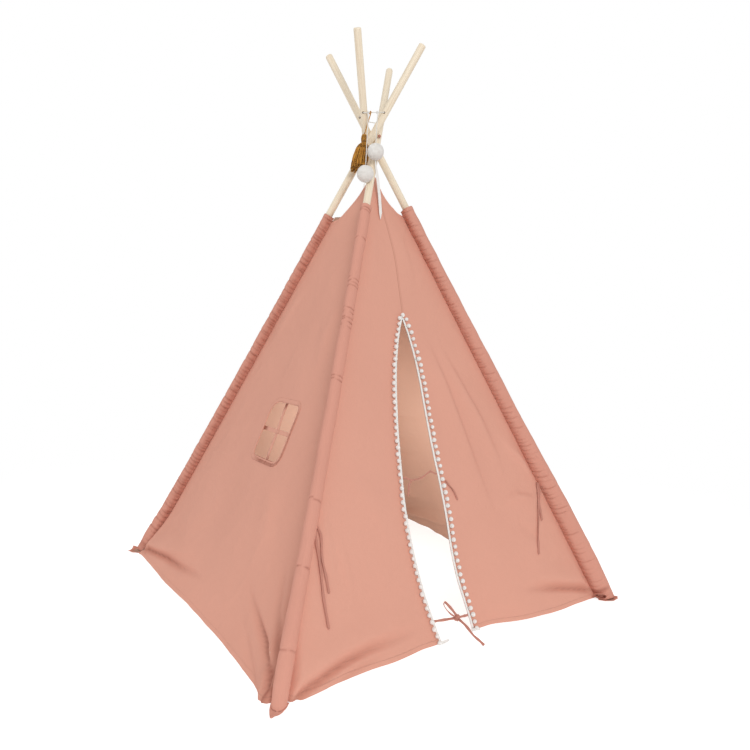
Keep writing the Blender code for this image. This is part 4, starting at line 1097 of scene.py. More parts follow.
def knotted_route(place, target, diameter):
    """A turn round the tie cord and then straight down to a target."""
    along = (SPAN[1] - SPAN[0]).normalized()
    down = target - place
    down = (down - along * down.dot(along)).normalized()
    level = along.cross(down)
    radius = (TIE_CORD_DIAMETER + diameter) / 2 + GAP * 2
    route = []
    for k in range(TURN_STEPS + 1):
        share = k / TURN_STEPS
        angle = -QUARTER - TURN_ROUND * (1 - share)
        shift = diameter * 1.6 * (share - 0.5)
        route.append(place + (down * math.cos(angle) + level * math.sin(angle)) * radius + along * shift)
    return route + [route[-1].lerp(target, (k + 1) / 12) for k in range(12)]


def shaped_ball(name, subdivisions, centre, material, moved):
    """A sphere round a centre, each point put where moved says for its direction."""
    shape = bmesh.new()
    bmesh.ops.create_icosphere(shape, subdivisions=subdivisions, radius=1)
    for point in shape.verts:
        point.co = moved(point.co.normalized())
    mesh = bpy.data.meshes.new(name)
    shape.to_mesh(mesh)
    shape.free()
    mesh.transform(Matrix.Translation(centre))
    mesh.shade_smooth()
    return new_object(name, mesh, [material])


def pinched_knot(name, place, radius):
    """A small ball of cloth pinched by the strip's own wraps."""
    def moved(d):
        wrap = 0.12 * math.sin(9 * d.x + 5 * d.z) + 0.06 * math.sin(14 * d.z - 6 * d.y)
        return Vector((d.x * 1.05, d.y * 0.75, d.z * 0.95)) * radius * (1 + wrap)

    item = shaped_ball(name, 4, place, TIE_CLOTH, moved)
    scatter_uv(item, 4)
    return item


top_knot = pinched_knot("canopy_knot", Vector((0.0095, -0.0265, 1.351)), 0.0048)
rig.ride(top_knot, "canopy")
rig.slot(top_knot, "cloth")

BALL_DIAMETER = 0.049
# How far each ball hangs across, out to the front and below the holes.
BALL_PLACES = {"upper": (0.0135, 0.0735, 0.125), "lower": (-0.0135, 0.1078, 0.1975)}
BALLS = {name: hanging(x, out, HOLE_HEIGHT - drop) for name, (x, out, drop) in BALL_PLACES.items()}
for name, centre in BALLS.items():
    knot = span_place(BALL_PLACES[name][0])
    target = centre + (knot - centre).normalized() * (BALL_DIAMETER / 2 - 0.002)
    route = knotted_route(knot, target, STRING_DIAMETER)
    string = swept(f"{name}_ball_string", route, oval(STRING_DIAMETER, STRING_DIAMETER, 8), materials=[CORD])
    dress(string, f"{name}_ball", f"ball_{name}_string", "string")
    declare_cord(string, route, STRING_DIAMETER)

# %% [markdown]
# ### Ribbon
# Under the upper ball hangs a flat white ribbon and under the lower one a short tail, where the
# maker knotted the string's end. Both are thin strips whose width changes on the way, so one
# function with a list of widths makes them, and the window's bars too.

# %% Ribbon and short tail
RIBBON_WIDTH, RIBBON_THICKNESS, TAIL_WIDTH = 0.01, 0.0007, 0.004
RIBBON_SPOTS = ((-0.026, 1.345, 0.0125), (-0.026, 1.32, 0.0095), (-0.027, 1.29, 0.0065), (-0.031, 1.258, 0.0045))
start = BALLS["upper"] - UP * (BALL_DIAMETER / 2 - 0.001)
ribbon_route = smooth_route([start] + [on_wall(0, x, y, lift, False) for x, y, lift in RIBBON_SPOTS], 8)


def ribbon(name, route, widths, thickness, face, material, curl=0.0):
    """A soft flat strip whose width changes along it, slightly hollow across."""
    sides = 6
    points = []
    for k, place in enumerate(route):
        run = (route[min(k + 1, len(route) - 1)] - route[max(k - 1, 0)]).normalized()
        flat = (Vector(face) - run * Vector(face).dot(run)).normalized()
        side = run.cross(flat)
        row = []
        for n in range(sides + 1):
            share = 2 * n / sides - 1
            row.append(place + side * (share * widths[k] / 2) + flat * (curl * widths[k] * share * share))
        points += row + [p - flat * thickness for p in reversed(row)]
    ring = 2 * (sides + 1)
    faces = quads(len(route), ring)
    for base in (0, (len(route) - 1) * ring):
        for n in range(sides):
            faces.append((base + n, base + n + 1, base + ring - 2 - n, base + ring - 1 - n))
    item = mesh_from(name, points, faces, [material])
    outwards(item)
    return item


def taper(k, count, width, neck=0.3, tip=0.12):
    """A strip's width at its place k: narrow at its neck, full and narrow again at its tip."""
    share = k / (count - 1)
    return width * min(neck + share * 6, 1, tip + (1 - share) * 5)


widths = [taper(k, len(ribbon_route), RIBBON_WIDTH) for k in range(len(ribbon_route))]
white_ribbon = ribbon("white_ribbon", ribbon_route, widths, RIBBON_THICKNESS, wall_normal(0), COTTON, 0.12)
dress(white_ribbon, "upper_ball", "ball_upper_ribbon", "string")
declare_cord(white_ribbon, ribbon_route, RIBBON_WIDTH, far_end="bare")
start = BALLS["lower"] - UP * (BALL_DIAMETER / 2 - 0.001)
tail_moves = ((0, 0, 0), (-0.002, 0.002, -0.009), (-0.0045, 0.0045, -0.018))
tail_route = smooth_route([start + hanging(*move) for move in tail_moves], 5)
widths = [taper(k, len(tail_route), TAIL_WIDTH, 0.5, 0.5) for k in range(len(tail_route))]
tail = ribbon("short_tail", tail_route, widths, RIBBON_THICKNESS, FRONT, COTTON)
dress(tail, "lower_ball", "ball_lower_tail", "string")

# %% [markdown]
# ### Cloth ties
# The ties are narrow strips of the tent's own cloth, folded and sewn, with cut ends. A strip is
# swept along its route with a flat oval section that turns a little on its way, as a hanging
# strip does.

# %% Routes of the ties
TIE_WIDTH, TIE_THICKNESS = 0.005, 0.0016
TIE_BACK_WIDTH = 0.0064
TIE_LIFT = 0.0036
TIE_BACKS = {
    "tie_back_left_long": ((-0.384, 0.374), (-0.387, 0.33), (-0.385, 0.27), (-0.387, 0.2), (-0.386, 0.131)),
    "tie_back_left_short": ((-0.383, 0.376), (-0.374, 0.345), (-0.377, 0.29), (-0.374, 0.25), (-0.372, 0.208)),
    "tie_back_right_long": ((0.374, 0.39), (0.36, 0.33), (0.338, 0.25), (0.326, 0.21), (0.317, 0.176)),
    "tie_back_right_short": ((0.379, 0.388), (0.37, 0.35), (0.362, 0.31), (0.357, 0.272)),
}
MIDDLE_RISE = 0.455
BOW_WIDTH = 0.0068
BOW_RISE = (0.068, 0.054)
BOW_KNOT = (-0.006, 0.057, 0.005)


def spots_route(spots, steps=10):
    return smooth_route([on_wall(0, offset, along, lift) for offset, along, lift in spots], steps)


def sewn_end(side, along):
    """The first places of a tie that is sewn to the slit's edge."""
    edge = float(slit_offsets(along)[side])
    inwards = 1 if side == 0 else -1
    return [(edge + inwards * reach, along, 0.0009) for reach in (0.0011, 0.0061)]


def strip(name, route, twist=0.0, width=TIE_WIDTH, face=None):
    """A narrow folded strip of cloth along a route, turning about it by twist."""
    count = len(route)
    section = oval(width * 1.16, TIE_THICKNESS, 10)
    points = []
    flat = Vector(face or wall_normal(0))
    for k, place in enumerate(route):
        run = (route[min(k + 1, count - 1)] - route[max(k - 1, 0)]).normalized()
        flat = (flat - run * flat.dot(run)).normalized()
        turned = Matrix.Rotation(twist * math.sin(k / count * 9), 3, run) @ flat
        side = run.cross(turned)
        narrow = 1 - 0.24 * abs(math.sin(k * 0.31))
        size = {0: 0.6, count - 1: 0.5}.get(k, 1)
        points += [place + side * (x * narrow * size) + turned * (y * size) for x, y in section]
    sides = len(section)
    faces = quads(count, sides) + [tuple(range(sides)), tuple(range((count - 1) * sides, count * sides))]
    item = mesh_from(name, points, faces, [TIE_CLOTH])
    outwards(item)
    scatter_uv(item, 3)
    return item


# %% Hang the ties
for number, (name, spots) in enumerate(TIE_BACKS.items()):
    route = spots_route([(offset, along, TIE_LIFT) for offset, along in spots])
    tie = strip(f"strip_{name}", route, 0.3 + 0.1 * number, TIE_BACK_WIDTH)
    dress(tie, POLE_BODIES[0 if "left" in name else 1], name, "cloth")
    declare_cord(tie, route, TIE_BACK_WIDTH, far_end="bare")
outer_spots = [(x, y, TIE_LIFT) for x, y in ((0.033, 0.432), (0.042, 0.42), (0.055, 0.401), (0.064, 0.372))]
inner_spots = [*sewn_end(1, MIDDLE_RISE), (-0.014, 0.463, 0.002), (-0.044, 0.449, 0.001), (-0.081, 0.446, 0.003)]
left_spots = [
    *sewn_end(0, MIDDLE_RISE), (-0.084, 0.446, 0.005), (-0.095, 0.434, 0.008), (-0.1, 0.418, 0.009),
    (-0.105, 0.404, 0.009),
]
for word, side, spots in (
    ("outer", "right", outer_spots), ("inner", "right", inner_spots), ("left", "left", left_spots),
):
    route = spots_route(spots)
    tie = strip(f"strip_middle_tie_{word}", route, 0.5)
    dress(tie, f"door_{side}", f"middle_tie_{word}", "cloth")
    declare_cord(tie, route, TIE_WIDTH, far_end="bare")

# %% [markdown]
# ### The bow near the hem
# The two lowest ties meet in a half bow: one loop stands up, one end hangs out past the hem. The
# knot is a ball pinched by wraps of the strip, made by pushing a sphere's points in and out.

# %% Bow
BOW_CARRIES = "door_right"
KNOT_RADIUS, KNOT_INSIDE = 0.0086, 0.0055
knot_place = on_wall(0, *BOW_KNOT)
bow_knot = pinched_knot("bow_knot_wrapped", knot_place, KNOT_RADIUS)
dress(bow_knot, BOW_CARRIES, "bow_knot", "cloth")


def from_knot(place):
    """Moves a strip's end to just inside the knot."""
    return knot_place + (place - knot_place).normalized() * KNOT_INSIDE


def bow_route(spots, returns=False):
    places = [on_wall(0, *spot) for spot in spots]
    places[0] = from_knot(places[0])
    if returns:
        places[-1] = from_knot(places[-1])
    return smooth_route(places, 8)


def from_bow(*moves):
    """Places given as moves from the knot, with their own lift above the cloth."""
    return [(BOW_KNOT[0] + x, BOW_KNOT[1] + y, lift) for x, y, lift in moves]


left_spots = [*from_bow((-0.012, 0.001, 0.004), (-0.036, 0.005, 0.003)), *reversed(sewn_end(0, BOW_RISE[0]))]
loop_spots = from_bow(
    (-0.003, 0.008, 0.009), (-0.02, 0.028, 0.013), (-0.04, 0.0505, 0.017), (-0.0475, 0.0515, 0.019),
    (-0.0475, 0.042, 0.019), (-0.031, 0.0205, 0.015), (-0.009, 0.003, 0.01),
)
tail_spots = [
    (-0.006, 0.05, 0.016), (-0.0075, 0.036, 0.036), (-0.0061, 0.0105, 0.0566), (-0.0017, -0.006, 0.0721),
    (0.0005, -0.0178, 0.0824),
]
right_spots = [*from_bow((0.012, -0.001, 0.004), (0.026, -0.002, 0.003)), *reversed(sewn_end(1, BOW_RISE[1]))]
right_strip = strip("bow_right_strip", bow_route(right_spots), 0.3, BOW_WIDTH)
dress(right_strip, BOW_CARRIES, "bow_right", "cloth")
for word, body, route, twist, face, more in (
    ("left", "door_left", bow_route(left_spots), 0.4, None, {"lay": "taut"}),
    ("loop", BOW_CARRIES, bow_route(loop_spots, True), 0.2, (-0.5, -0.8, 0.2), {"lay": "loose"}),
    ("tail", BOW_CARRIES, bow_route(tail_spots), 0.35, (-0.45, -0.6, 0.66),
     {"far_end": "bare", "with_pieces": [bow_knot, right_strip]}),
):
    tie = strip(f"bow_{word}_strip", route, twist, BOW_WIDTH, face)
    dress(tie, body, f"bow_{word}", "cloth")
    declare_cord(tie, route, BOW_WIDTH, **more)

# %% [markdown]
# ## Walls
# Each wall is one continuous curved cloth, modelled as a fine grid with a second skin one
# millimetre behind it. When the frame folds, each half of a wall turns with its own pole and
# gathers towards it, so a wall is cut down a line where the two halves meet. Both halves keep the
# shading of the whole, so the cut can't be seen at rest.

# %% Shells of cloth
KEEP = 0.176


def gather_with_pole(item, wall, corner):
    """The piece gathers towards its pole's seam as the frame folds."""
    inwards = 1 if corner == wall else -1
    start, end = (seam_edge(corner, along, inwards)[0] for along in (HEM, 1.2))
    run = (end - start) / np.linalg.norm(end - start)
    axis = np.cross(run, wall_normal(wall))
    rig.squash(item, f"fold_{CORNERS[corner]}", axis=axis, anchor=start, keep=KEEP)


LEFT_TIES = ("strip_tie_back_left_long", "strip_tie_back_left_short", "strip_middle_tie_left", "bow_left_strip")
RIGHT_TIES = (
    "strip_tie_back_right_long", "strip_tie_back_right_short", "strip_middle_tie_outer", "strip_middle_tie_inner",
    "bow_knot_wrapped", "bow_right_strip", "bow_loop_strip", "bow_tail_strip",
)
for corner, names in enumerate((LEFT_TIES, RIGHT_TIES)):
    for name in names:
        gather_with_pole(bpy.data.objects[name], 0, corner)
print("ties gather with", len(LEFT_TIES), "and", len(RIGHT_TIES))


# %% Grid of a wall
def grid_faces(points, open_cells):
    """Merges coincident points of a grid; gives its points, quads and each quad's cell."""
    rows, columns = points.shape[:2]
    keys, ids = {}, np.zeros((rows, columns), int)
    kept = []
    for i in range(rows):
        for j in range(columns):
            key = tuple(np.round(points[i, j], 6))
            if key not in keys:
                keys[key] = len(kept)
                kept.append(points[i, j])
            ids[i, j] = keys[key]
    faces, cells = [], []
    for i in range(rows - 1):
        for j in range(columns - 1):
            if open_cells is not None and open_cells[i, j]:
                continue
            corner = [ids[i, j], ids[i, j + 1], ids[i + 1, j + 1], ids[i + 1, j]]
            corner = list(dict.fromkeys(corner))
            if len(corner) > 2:
                faces.append(corner)
                cells.append((i, j))
    return np.array(kept), ids, faces, cells


def point_normals(points, faces):
    total = np.zeros_like(points)
    for face in faces:
        a, b, c = points[face[0]], points[face[1]], points[face[2]]
        n = np.cross(b - a, c - a)
        if len(face) == 4:
            n = n + np.cross(c - a, points[face[3]] - a)
        for k in face:
            total[k] += n
    return total / np.maximum(np.linalg.norm(total, axis=1), 1e-12)[:, None]


# %% Two skins of a cloth
def shells(points, open_cells, side_of, names, coordinates, fields):
    """Closed one-millimetre shells from a grid, one for each name that side_of gives a cell."""
    kept, ids, faces, cells = grid_faces(points, open_cells)
    normals = point_normals(kept, faces)
    uv = np.zeros((len(kept), 2))
    uv[ids.ravel()] = coordinates.reshape(-1, 2)
    made = {}
    for name in names:
        mine = [f for f, c in zip(faces, cells) if side_of(*c) == name]
        used = sorted({k for f in mine for k in f})
        number = {k: n for n, k in enumerate(used)}
        count = len(used)
        outer = [[number[k] for k in f] for f in mine]
        inner = [[k + count for k in reversed(f)] for f in outer]
        sides = {}
        for f in outer:
            for a, b in zip(f, f[1:] + f[:1]):
                if (b, a) in sides:
                    del sides[(b, a)]
                else:
                    sides[(a, b)] = True
        rim = [[b, a, a + count, b + count] for a, b in sides]
        outside = kept[used]
        inside = outside - normals[used] * CLOTH
        # The inner skin takes the inside material, whose tan paints light coming through the cloth.
        item = mesh_from(name, np.concatenate([outside, inside]), outer + inner + rim, [PINK_CLOTH, PINK_INSIDE])
        slots = np.array([0] * len(outer) + [1] * len(inner) + [0] * len(rim), np.int32)
        item.data.polygons.foreach_set("material_index", slots)
        set_uv(item, np.concatenate([uv[used]] * 2))
        for label, field in fields.items():
            values = np.zeros(len(kept), np.float32)
            values[ids.ravel()] = field.ravel()
            set_field(item, label, np.concatenate([values[used], values[used] * (label == "edge")]))
        shading = np.concatenate([normals[used], -normals[used]])
        item.data.normals_split_custom_set_from_vertices([tuple(n) for n in shading])
        made[name] = item
    return made


# %% What every cloth says
def declare_sheet(item, flat, held, rests_on):
    """Declares a cloth by its flat size; its area comes from its own outer skin."""
    area = sum(p.area for p in item.data.polygons if p.material_index == 0)
    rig.sheet(item, flat=flat, held=held, rests_on=rests_on, area=round(min(area, flat[0] * flat[1]), 4))
    print(item.name, "flat", flat, "area", round(area, 3), "faces", len(item.data.polygons))


def hang_half(item, wall, corner, flat):
    """Half a wall rides on its own pole and gathers towards it."""
    dress(item, POLE_BODIES[corner], f"{WALLS[wall]}_wall", "cloth")
    gather_with_pole(item, wall, corner)
    declare_sheet(item, flat, "stretched", [f"sleeve_{CORNERS[corner]}"])


# %% Plain walls
COLUMNS, ROWS = (60, 80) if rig.quick() else (140, 190)
FLAT = {
    "plain": (0.54, 1.42), "window": (0.6, 1.42), "door": (0.38, 1.42), "flap": (0.255, 0.81),
    "pocket": (0.082, 1.29), "foot": (0.044, 0.06),
}


def wall_grid(wall, across, rows):
    """Grid shares, distances and places of a wall that runs unbroken from seam to seam."""
    share = (np.arange(rows + 1) / rows)[:, None] ** 1.1
    along = HEM + (top_distance(wall, across)[None, :] - HEM) * share
    spread = np.broadcast_to(across[None, :], along.shape)
    points = wall_points(wall, spread.ravel(), along.ravel()).reshape(*along.shape, 3)
    offset = (spread.ravel() - 0.5) * wall_width(wall, along.ravel())
    return spread, along, offset.reshape(along.shape), points


def edge_distance(wall, spread, along):
    return np.minimum(along - HEM, (top_distance(wall, spread) - along) * 0.9)


def fields_of(wall, spread, along):
    """What the cloth's material reads at each point: the way to an edge, and the painted shade of folds with the door's
    seam lines.
    """
    shade = crease_shade(wall, spread.ravel(), along.ravel()).reshape(along.shape)
    # Painted shade: the window wall darkens towards the front-left pocket, low down, where the pocket shades it.
    if wall == 3:
        shade = shade + 0.24 * np.exp(-(1 - spread) / 0.09) * smooth_step((1.15 - along) / 0.6)
    return {"edge": edge_distance(wall, spread, along), "fold": np.clip(shade, 0, 1)}


for wall in (1, 2):
    across = np.linspace(0, 1, COLUMNS + 1)
    spread, along, offset, points = wall_grid(wall, across, ROWS)
    corners = (wall, wall + 1)
    names = [f"{WALLS[wall]}_cloth_{CORNERS[corner]}" for corner in corners]
    made = shells(
        points, None, lambda i, j: names[0] if j < COLUMNS // 2 else names[1], names,
        np.stack([offset, along], -1), fields_of(wall, spread, along),
    )
    for name, corner in zip(names, corners):
        hang_half(made[name], wall, corner, FLAT["plain"])

# %% [markdown]
# ### Window wall
# The opening is a rounded square. Cells of the grid inside it are left out, and the points around
# it move onto the outline, so the cloth keeps a clean edge under the binding. The wall is split
# beside the window, never through it.


# %% Window wall
WINDOW_SPLIT = 0.455


def window_outline(grow, steps=10, side_steps=8):
    """The opening's rounded outline as (offset, distance) places, grown by a width."""
    slope = math.cos(math.atan2(BASE / 2, CROSSING_HEIGHT)) / POLES[0].axis.z
    spots = []
    for corner in range(4):
        radius = WINDOW_CORNERS[corner] + grow
        x_side, y_side = (1 if corner in (0, 3) else -1), (1 if corner in (0, 1) else -1)
        for k in range(steps + 1):
            angle = QUARTER * (corner + k / steps)
            x = x_side * (WINDOW_WIDTH / 2 - WINDOW_CORNERS[corner]) + radius * math.cos(angle)
            y = y_side * (WINDOW_HEIGHT / 2 - WINDOW_CORNERS[corner]) + radius * math.sin(angle)
            spots.append((WINDOW_OFFSET + x, WINDOW_DISTANCE + y * slope))
    full = []
    for a, b in zip(spots, spots[1:] + spots[:1]):
        count = side_steps if math.dist(a, b) > 0.05 else 1
        full += [(a[0] + (b[0] - a[0]) * k / count, a[1] + (b[1] - a[1]) * k / count) for k in range(count)]
    return np.array(full)


def inside_outline(x, y, outline):
    inside = np.zeros(x.shape, bool)
    for (ax, ay), (bx, by) in zip(outline, np.roll(outline, -1, axis=0)):
        crosses = (ay > y) != (by > y)
        with np.errstate(divide="ignore", invalid="ignore"):
            inside ^= crosses & (x < (bx - ax) * (y - ay) / (by - ay) + ax)
    return inside


def to_outline(x, y, outline):
    """The nearest place of the outline for each place."""
    best = np.full(x.shape, 9.0)
    near_x, near_y = x.copy(), y.copy()
    for (ax, ay), (bx, by) in zip(outline, np.roll(outline, -1, axis=0)):
        length = math.hypot(bx - ax, by - ay)
        t = np.clip(((x - ax) * (bx - ax) + (y - ay) * (by - ay)) / length**2, 0, 1)
        px, py = ax + (bx - ax) * t, ay + (by - ay) * t
        far = np.hypot(x - px, y - py)
        closer = far < best
        best = np.where(closer, far, best)
        near_x, near_y = np.where(closer, px, near_x), np.where(closer, py, near_y)
    return near_x, near_y


columns_left = int(COLUMNS * WINDOW_SPLIT)
left_shares = np.linspace(0, WINDOW_SPLIT, columns_left + 1)
right_shares = np.linspace(WINDOW_SPLIT, 1, COLUMNS - columns_left + 1)
spread, along, offset, points = wall_grid(3, np.concatenate([left_shares, right_shares[1:]]), ROWS)
outline = window_outline(0.0)
hole = inside_outline(offset, along, outline)
cells_open = hole[:-1, :-1] & hole[1:, :-1] & hole[:-1, 1:] & hole[1:, 1:]
near_x, near_y = to_outline(offset, along, outline)
moved_offset, moved_along = np.where(hole, near_x, offset), np.where(hole, near_y, along)
points = offset_points(3, moved_offset.ravel(), moved_along.ravel()).reshape(points.shape)
names = ["window_cloth_back_left", "window_cloth_front_left"]
made = shells(
    points, cells_open, lambda i, j: names[0] if j < columns_left else names[1], names,
    np.stack([offset, along], -1), fields_of(3, spread, along),
)
for name, corner in zip(names, (3, 0)):
    hang_half(made[name], 3, corner, FLAT["window"])

# %% [markdown]
# ### Door wall and its two flaps
# The door wall is one cloth with a slit. Its two flaps turn outwards about fold lines, so they are
# pieces of their own that share the wall's grid and shading.

# %% Door wall
SEAM_COLUMNS, FLAP_COLUMNS = (24, 14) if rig.quick() else (44, 30)
low_rows, slit_rows, high_rows = (50, 8, 26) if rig.quick() else (120, 20, 66)
levels = [HEM + (FLAP_TOP - HEM) * (k / low_rows) ** 1.1 for k in range(low_rows + 1)]
levels += [FLAP_TOP + (DOOR_TOP - FLAP_TOP) * (k + 1) / slit_rows for k in range(slit_rows)]


def door_row(level):
    """Offsets of one row: seam, fold line, slit, slit, fold line, seam."""
    half = float(wall_width(0, level)[0]) / 2
    low = min(level, FLAP_TOP)
    shrink = float(wall_width(0, level)[0] / wall_width(0, low)[0])
    fold_left, fold_right = (float(x) * shrink for x in fold_offsets(low))
    slit_left, slit_right = (float(x) for x in slit_offsets(level))
    row = [-half + (fold_left + half) * k / SEAM_COLUMNS for k in range(SEAM_COLUMNS)]
    row += [fold_left + (slit_left - fold_left) * k / FLAP_COLUMNS for k in range(FLAP_COLUMNS + 1)]
    row += [slit_right + (fold_right - slit_right) * k / FLAP_COLUMNS for k in range(FLAP_COLUMNS)]
    return row + [fold_right + (half - fold_right) * k / SEAM_COLUMNS for k in range(SEAM_COLUMNS + 1)]


offset = np.array([door_row(level) for level in levels])
along = np.repeat(np.array(levels)[:, None], offset.shape[1], axis=1)
last_across = 0.5 + offset[-1] / float(wall_width(0, DOOR_TOP)[0])
share = (np.arange(1, high_rows + 1) / high_rows)[:, None]
high_along = DOOR_TOP + (top_distance(0, last_across)[None, :] - DOOR_TOP) * share
high_spread = np.broadcast_to(last_across[None, :], high_along.shape)
high_offset = (high_spread.ravel() - 0.5) * wall_width(0, high_along.ravel())
offset = np.concatenate([offset, high_offset.reshape(high_along.shape)])
along = np.concatenate([along, high_along])
spread = 0.5 + offset / wall_width(0, along.ravel()).reshape(along.shape)
points = wall_points(0, spread.ravel(), along.ravel()).reshape(*along.shape, 3)
centre_column = SEAM_COLUMNS + FLAP_COLUMNS
cells_open = np.zeros((along.shape[0] - 1, along.shape[1] - 1), bool)
cells_open[:, centre_column] = True
names = ["door_cloth_front_left", "door_cloth_front_right", "door_flap_cloth_left", "door_flap_cloth_right"]


def door_piece(i, j):
    side = 0 if j < centre_column else 1
    mine = j >= SEAM_COLUMNS if side == 0 else j <= centre_column + FLAP_COLUMNS
    return names[side + 2 if mine and i < low_rows else side]


made = shells(
    points, cells_open, door_piece, names, np.stack([offset, along], -1), fields_of(0, spread, along),
)
for corner, word in enumerate(("left", "right")):
    fixed, flap = made[names[corner]], made[names[corner + 2]]
    hang_half(fixed, 0, corner, FLAT["door"])
    dress(flap, f"door_{word}", f"door_flap_{word}", "cloth")
    gather_with_pole(flap, 0, corner)
    declare_sheet(flap, FLAT["flap"], "hung", [fixed.name])

# %% [markdown]
# ## Pole pockets
# Each pocket is a tube of the same cloth, sewn to both walls along its inner side. The cloth is
# gathered onto that seam: each gather is a narrow tuck that pulls the cloth in at the seam and dies
# out over the pole, with a soft puff beside it. The tucks' places and depths are drawn once for
# each corner, so that every sleeve puckers in its own way.

# %% Pockets
POCKET_LENGTHS = (1.28, 1.302, 1.29, 1.276)
POCKET_ROWS, POCKET_SIDES = (260, 20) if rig.quick() else (900, 28)
# For each corner: the tucks' pitch, depth, reach from the seam and lean.
TUCKS = (
    (0.055, 0.003, 0.3, 0.0), (0.0105, 0.0026, 1.15, 0.022), (0.012, 0.003, 0.8, 0.0), (0.0125, 0.0036, 1.0, -0.004),
)
PLACED_TUCKS = (
    0.1, 0.27, 0.42, 0.725, 0.737, 0.88, 0.894, 0.906, 0.92, 0.934, 1.0, 1.013, 1.026, 1.16, 1.255, 1.262,
)
# Painted shade for each corner: darker towards the seam, in each tuck and in a low fold just above the foot.
POCKET_SHADE = (0.0, 0.14, 0.2, 0.3)
POCKET_CREASE = (0.7, 0.33, 0.4, 0.5)
POCKET_LOW_FOLD = (0.0, 0.6, 0.2, 0.45)
POCKET_EASE = (0.0009, 0.0018, 0.0018, 0.0009)
POLE_CLEAR = POLE_DIAMETER / 2 + 0.0013
PLAIN = [(0, 1), (1.3, 1)]
LOOSE_OUT = (
    PLAIN,
    [
        (0, 1.75), (0.05, 1.9), (0.12, 2.05), (0.2, 2.0), (0.35, 1.85), (0.45, 1.6), (0.55, 1.45), (0.8, 1.25),
        (1.05, 1.05), (1.3, 1),
    ],
    PLAIN,
    [(0, 1.5), (0.05, 1.5), (0.15, 1.2), (0.3, 0.96), (0.5, 0.85), (0.8, 0.74), (1.3, 0.73)],
)
LOOSE_LEFT = (
    [(0, 1.2), (0.05, 1.42), (0.12, 1.4), (0.3, 1.15), (0.5, 1), (1.3, 0.95)],
    [(0, 1), (1.1, 1), (1.3, 1.3)], PLAIN, PLAIN,
)
LOOSE_RIGHT = ([(0, 0.8), (0.3, 0.82), (0.5, 0.92), (1.3, 0.95)], PLAIN, PLAIN, PLAIN)
ALMOND = (
    (0.0175, 0), (0.0145, 0.008), (0.0086, 0.0125), (0, 0.0152), (-0.0086, 0.0128), (-0.015, 0.006),
    (-0.019, 0.0018),
)
print("tucks placed by hand", len(PLACED_TUCKS))


# %% Section of a pocket
def double_skin(rows, ring):
    """Faces of a tube with an outer and an inner skin, joined at both its open ends."""
    total = rows * ring
    outer = quads(rows, ring)
    inner = [tuple(total + q for q in reversed(face)) for face in outer]
    rims = []
    for row in (0, total - ring):
        for n in range(ring):
            m = (n + 1) % ring
            rim = (row + m, row + n, total + row + n, total + row + m)
            rims.append(rim if row == 0 else tuple(reversed(rim)))
    return outer + inner + rims


def pocket_section(count):
    """The pocket's almond section as (out, side, share towards the seam) rows."""
    half = smooth_route([(a, b, 0) for a, b in ALMOND], 8)
    at = np.linspace(0, len(half) - 1, count // 2 + 1)
    half = [half[int(round(k))] for k in at]
    rows = [(p.x, p.y, k / (len(half) - 1)) for k, p in enumerate(half)]
    return rows + [(x, -y, s) for x, y, s in reversed(rows[1:-1])]


print("pocket section has", len(pocket_section(POCKET_SIDES)), "places")


# %% Tucks
def tucks(along, seam, corner, side):
    """How deep the gathers pull the cloth in: sharp lines with soft puffs between them."""
    pitch, depth, reach, lean = TUCKS[corner]
    dice = np.random.default_rng(200 + corner * 2 + side)
    places = np.cumsum(pitch * (0.45 + 1.1 * dice.random(int(1.45 / pitch / 0.9) + 8))) - 0.04
    strong = depth * (0.35 + 0.65 * dice.random(len(places)))
    reaches = reach * (0.5 + 0.9 * dice.random(len(places)))
    slants = lean + 0.006 * (dice.random(len(places)) - 0.5)
    if corner == 0:
        places = np.array(PLACED_TUCKS) + 0.003 * side
        strong = depth * (0.6 + 0.4 * dice.random(len(places)))
        reaches = 0.9 + 0.4 * dice.random(len(places))
        slants = 0.008 * (dice.random(len(places)) - 0.5)
    moved = along + 0.004 * (seam - 1)
    after = np.clip(np.searchsorted(places, moved), 1, len(places) - 1)
    depth_here = 0
    for k in (after - 1, after):
        away = np.abs(moved + slants[k] * (1 - seam) - places[k])
        fade = smooth_step((seam - 1 + np.minimum(reaches[k], 1.3)) / 0.35)
        width = 0.0018 + 0.26 * pitch if corner else 0.0036
        depth_here = np.maximum(depth_here, strong[k] * fade * np.maximum(0, 1 - away / width) ** 1.2)
    return depth_here


